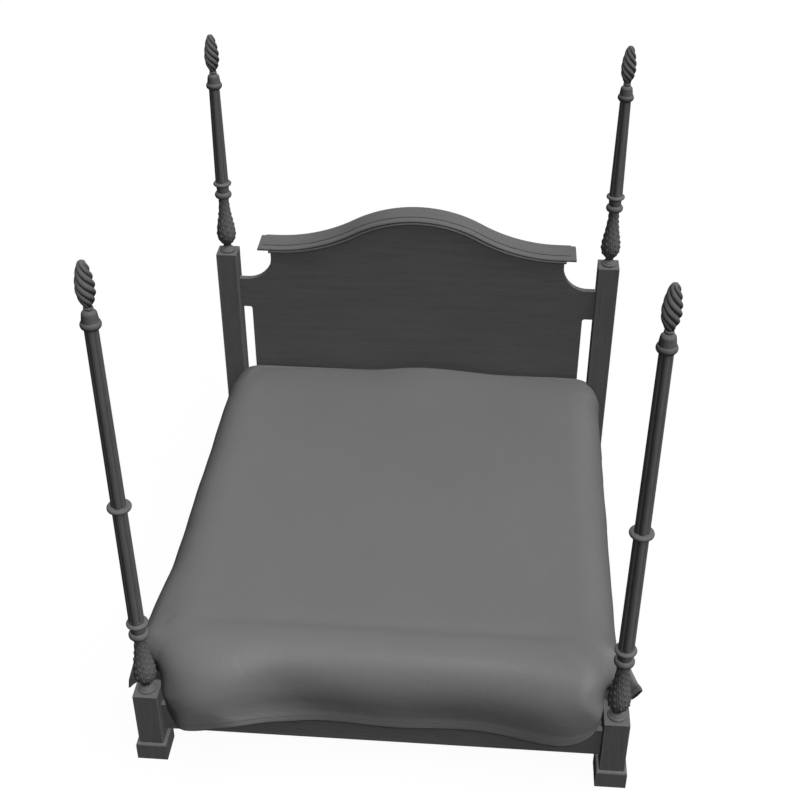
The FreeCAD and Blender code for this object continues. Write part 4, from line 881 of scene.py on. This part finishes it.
def make_pad(name, node, finish, crown, piping):
    """A padded block: rounded outlines stacked on an upright curve, with a crown above and below.

    The outline shrinks by a quarter ellipse at both edges, a bead stands out at each seam, and the
    faces rise by crown * (1 - r^4) towards the middle.
    """
    low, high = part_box(node)
    middle = (low + high) / 2
    half = (high - low) / 2
    outline_x, outline_y = rounded_outline(half.x, half.y)
    lift = np.linspace(-1.0, 1.0, PAD_WALL_RINGS)
    seam = half.z - PAD_EDGE
    near_edge = np.clip((np.abs(lift) * half.z - seam) / PAD_EDGE, 0.0, 1.0)
    inset = PAD_EDGE * PAD_DRAW * (1 - np.sqrt(np.clip(1 - near_edge ** 2, 0, 1)))
    bead = piping * bump_at(seam, PIPING_WIDTH, np.abs(lift) * half.z)
    pull = (inset + PAD_BELLY * lift ** 2 - bead)[:, None]
    height = lift * (half.z - crown)
    wall = np.stack([outline_x[None] * (1 - pull / half.x), outline_y[None] * (1 - pull / half.y),
                     np.broadcast_to(height[:, None], (PAD_WALL_RINGS, PAD_COLUMNS))], axis=-1)
    shares = np.linspace(0.0, 1.0, PAD_FACE_RINGS + 1)[1:-1, None]
    rise = (half.z - crown) + crown * (1 - shares ** 4)
    top = np.stack([wall[-1, :, 0][None] * shares, wall[-1, :, 1][None] * shares,
                    np.broadcast_to(rise, (len(shares), PAD_COLUMNS))], axis=-1)
    rings = np.concatenate([top * (1, 1, -1), wall, top[::-1]])
    poles = [(0, 0, -half.z), (0, 0, half.z)]
    vertices = np.concatenate([rings.reshape(-1, 3), poles]) + np.array(middle)
    first_pole = len(rings) * PAD_COLUMNS
    triangles = np.concatenate([
        pole_faces(first_pole, 0, PAD_COLUMNS),
        pole_faces(first_pole + 1, first_pole - PAD_COLUMNS, PAD_COLUMNS, last_pole=True)])
    piece = add_piece(name, vertices, ring_faces(len(rings), PAD_COLUMNS), triangles, finish)
    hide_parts(node)


# The bed

STAIN = (0.168, 0.168, 0.168)
# The plain timber is painted darker than the stained timber: painted shade where the slats show in gaps under
# the coverlet.
PLAIN_SHADED = (0.142, 0.142, 0.142)
PLAIN_POLISH = 0.65
ZINC = (0.36, 0.36, 0.37)
BASE_GREY = (0.33, 0.33, 0.32)
TICKING_GREY = (0.62, 0.62, 0.60)
COVER_GREY = (0.189, 0.189, 0.189)


def dress(finish, *starts):
    """Gives a finish to the CAD nodes whose names start with any of these."""
    for name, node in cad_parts.items():
        if name.startswith(starts):
            node.data.materials.clear()
            node.data.materials.append(finish)


set_camera()
set_light()
set_floor()

upright = wood("dark_wood_upright", 2, STAIN, worn=True)
across = wood("dark_wood_across", 0, STAIN)
lengthways = wood("dark_wood_lengthways", 1, STAIN)
# These plain timbers carry the darker grey, which is painted shade for the gaps under the coverlet.
plain_across = wood("plain_wood_across", 0, PLAIN_SHADED, polish=PLAIN_POLISH)
plain_lengthways = wood("plain_wood_lengthways", 1, PLAIN_SHADED, polish=PLAIN_POLISH)
plain_upright = wood("plain_wood_upright", 2, PLAIN_SHADED, polish=PLAIN_POLISH)
zinc = steel("zinc_steel", ZINC)
base_cloth = woven("base_cloth", BASE_GREY, pitch=0.004, slub=0.12)
ticking = woven("ticking", TICKING_GREY, pitch=0.003, slub=0.08, stripes=0.032)
cover_cloth = coverlet_cloth("coverlet_weave", COVER_GREY)

dress(upright, *(corner + "_" for corner in CORNERS))
dress(across, "headboard_panel", "cap_rail", "bed_mould", "head_rail", "foot_rail")
dress(lengthways, "left_side_rail", "right_side_rail")
dress(plain_lengthways, "left_cleat", "right_cleat", "centre_beam")
dress(plain_across, "slat_")
dress(plain_upright, "centre_leg_")
dress(zinc, "rail_hook_plates", "post_slot_plates", "beam_brackets")

for corner in CORNERS:
    carved_vase(corner, upright)
make_pad("base_upholstery", "base", base_cloth, crown=0.002, piping=0.002)
make_pad("mattress_ticking", "mattress", ticking, crown=0.006, piping=0.005)
coverlet = make_coverlet(cover_cloth)
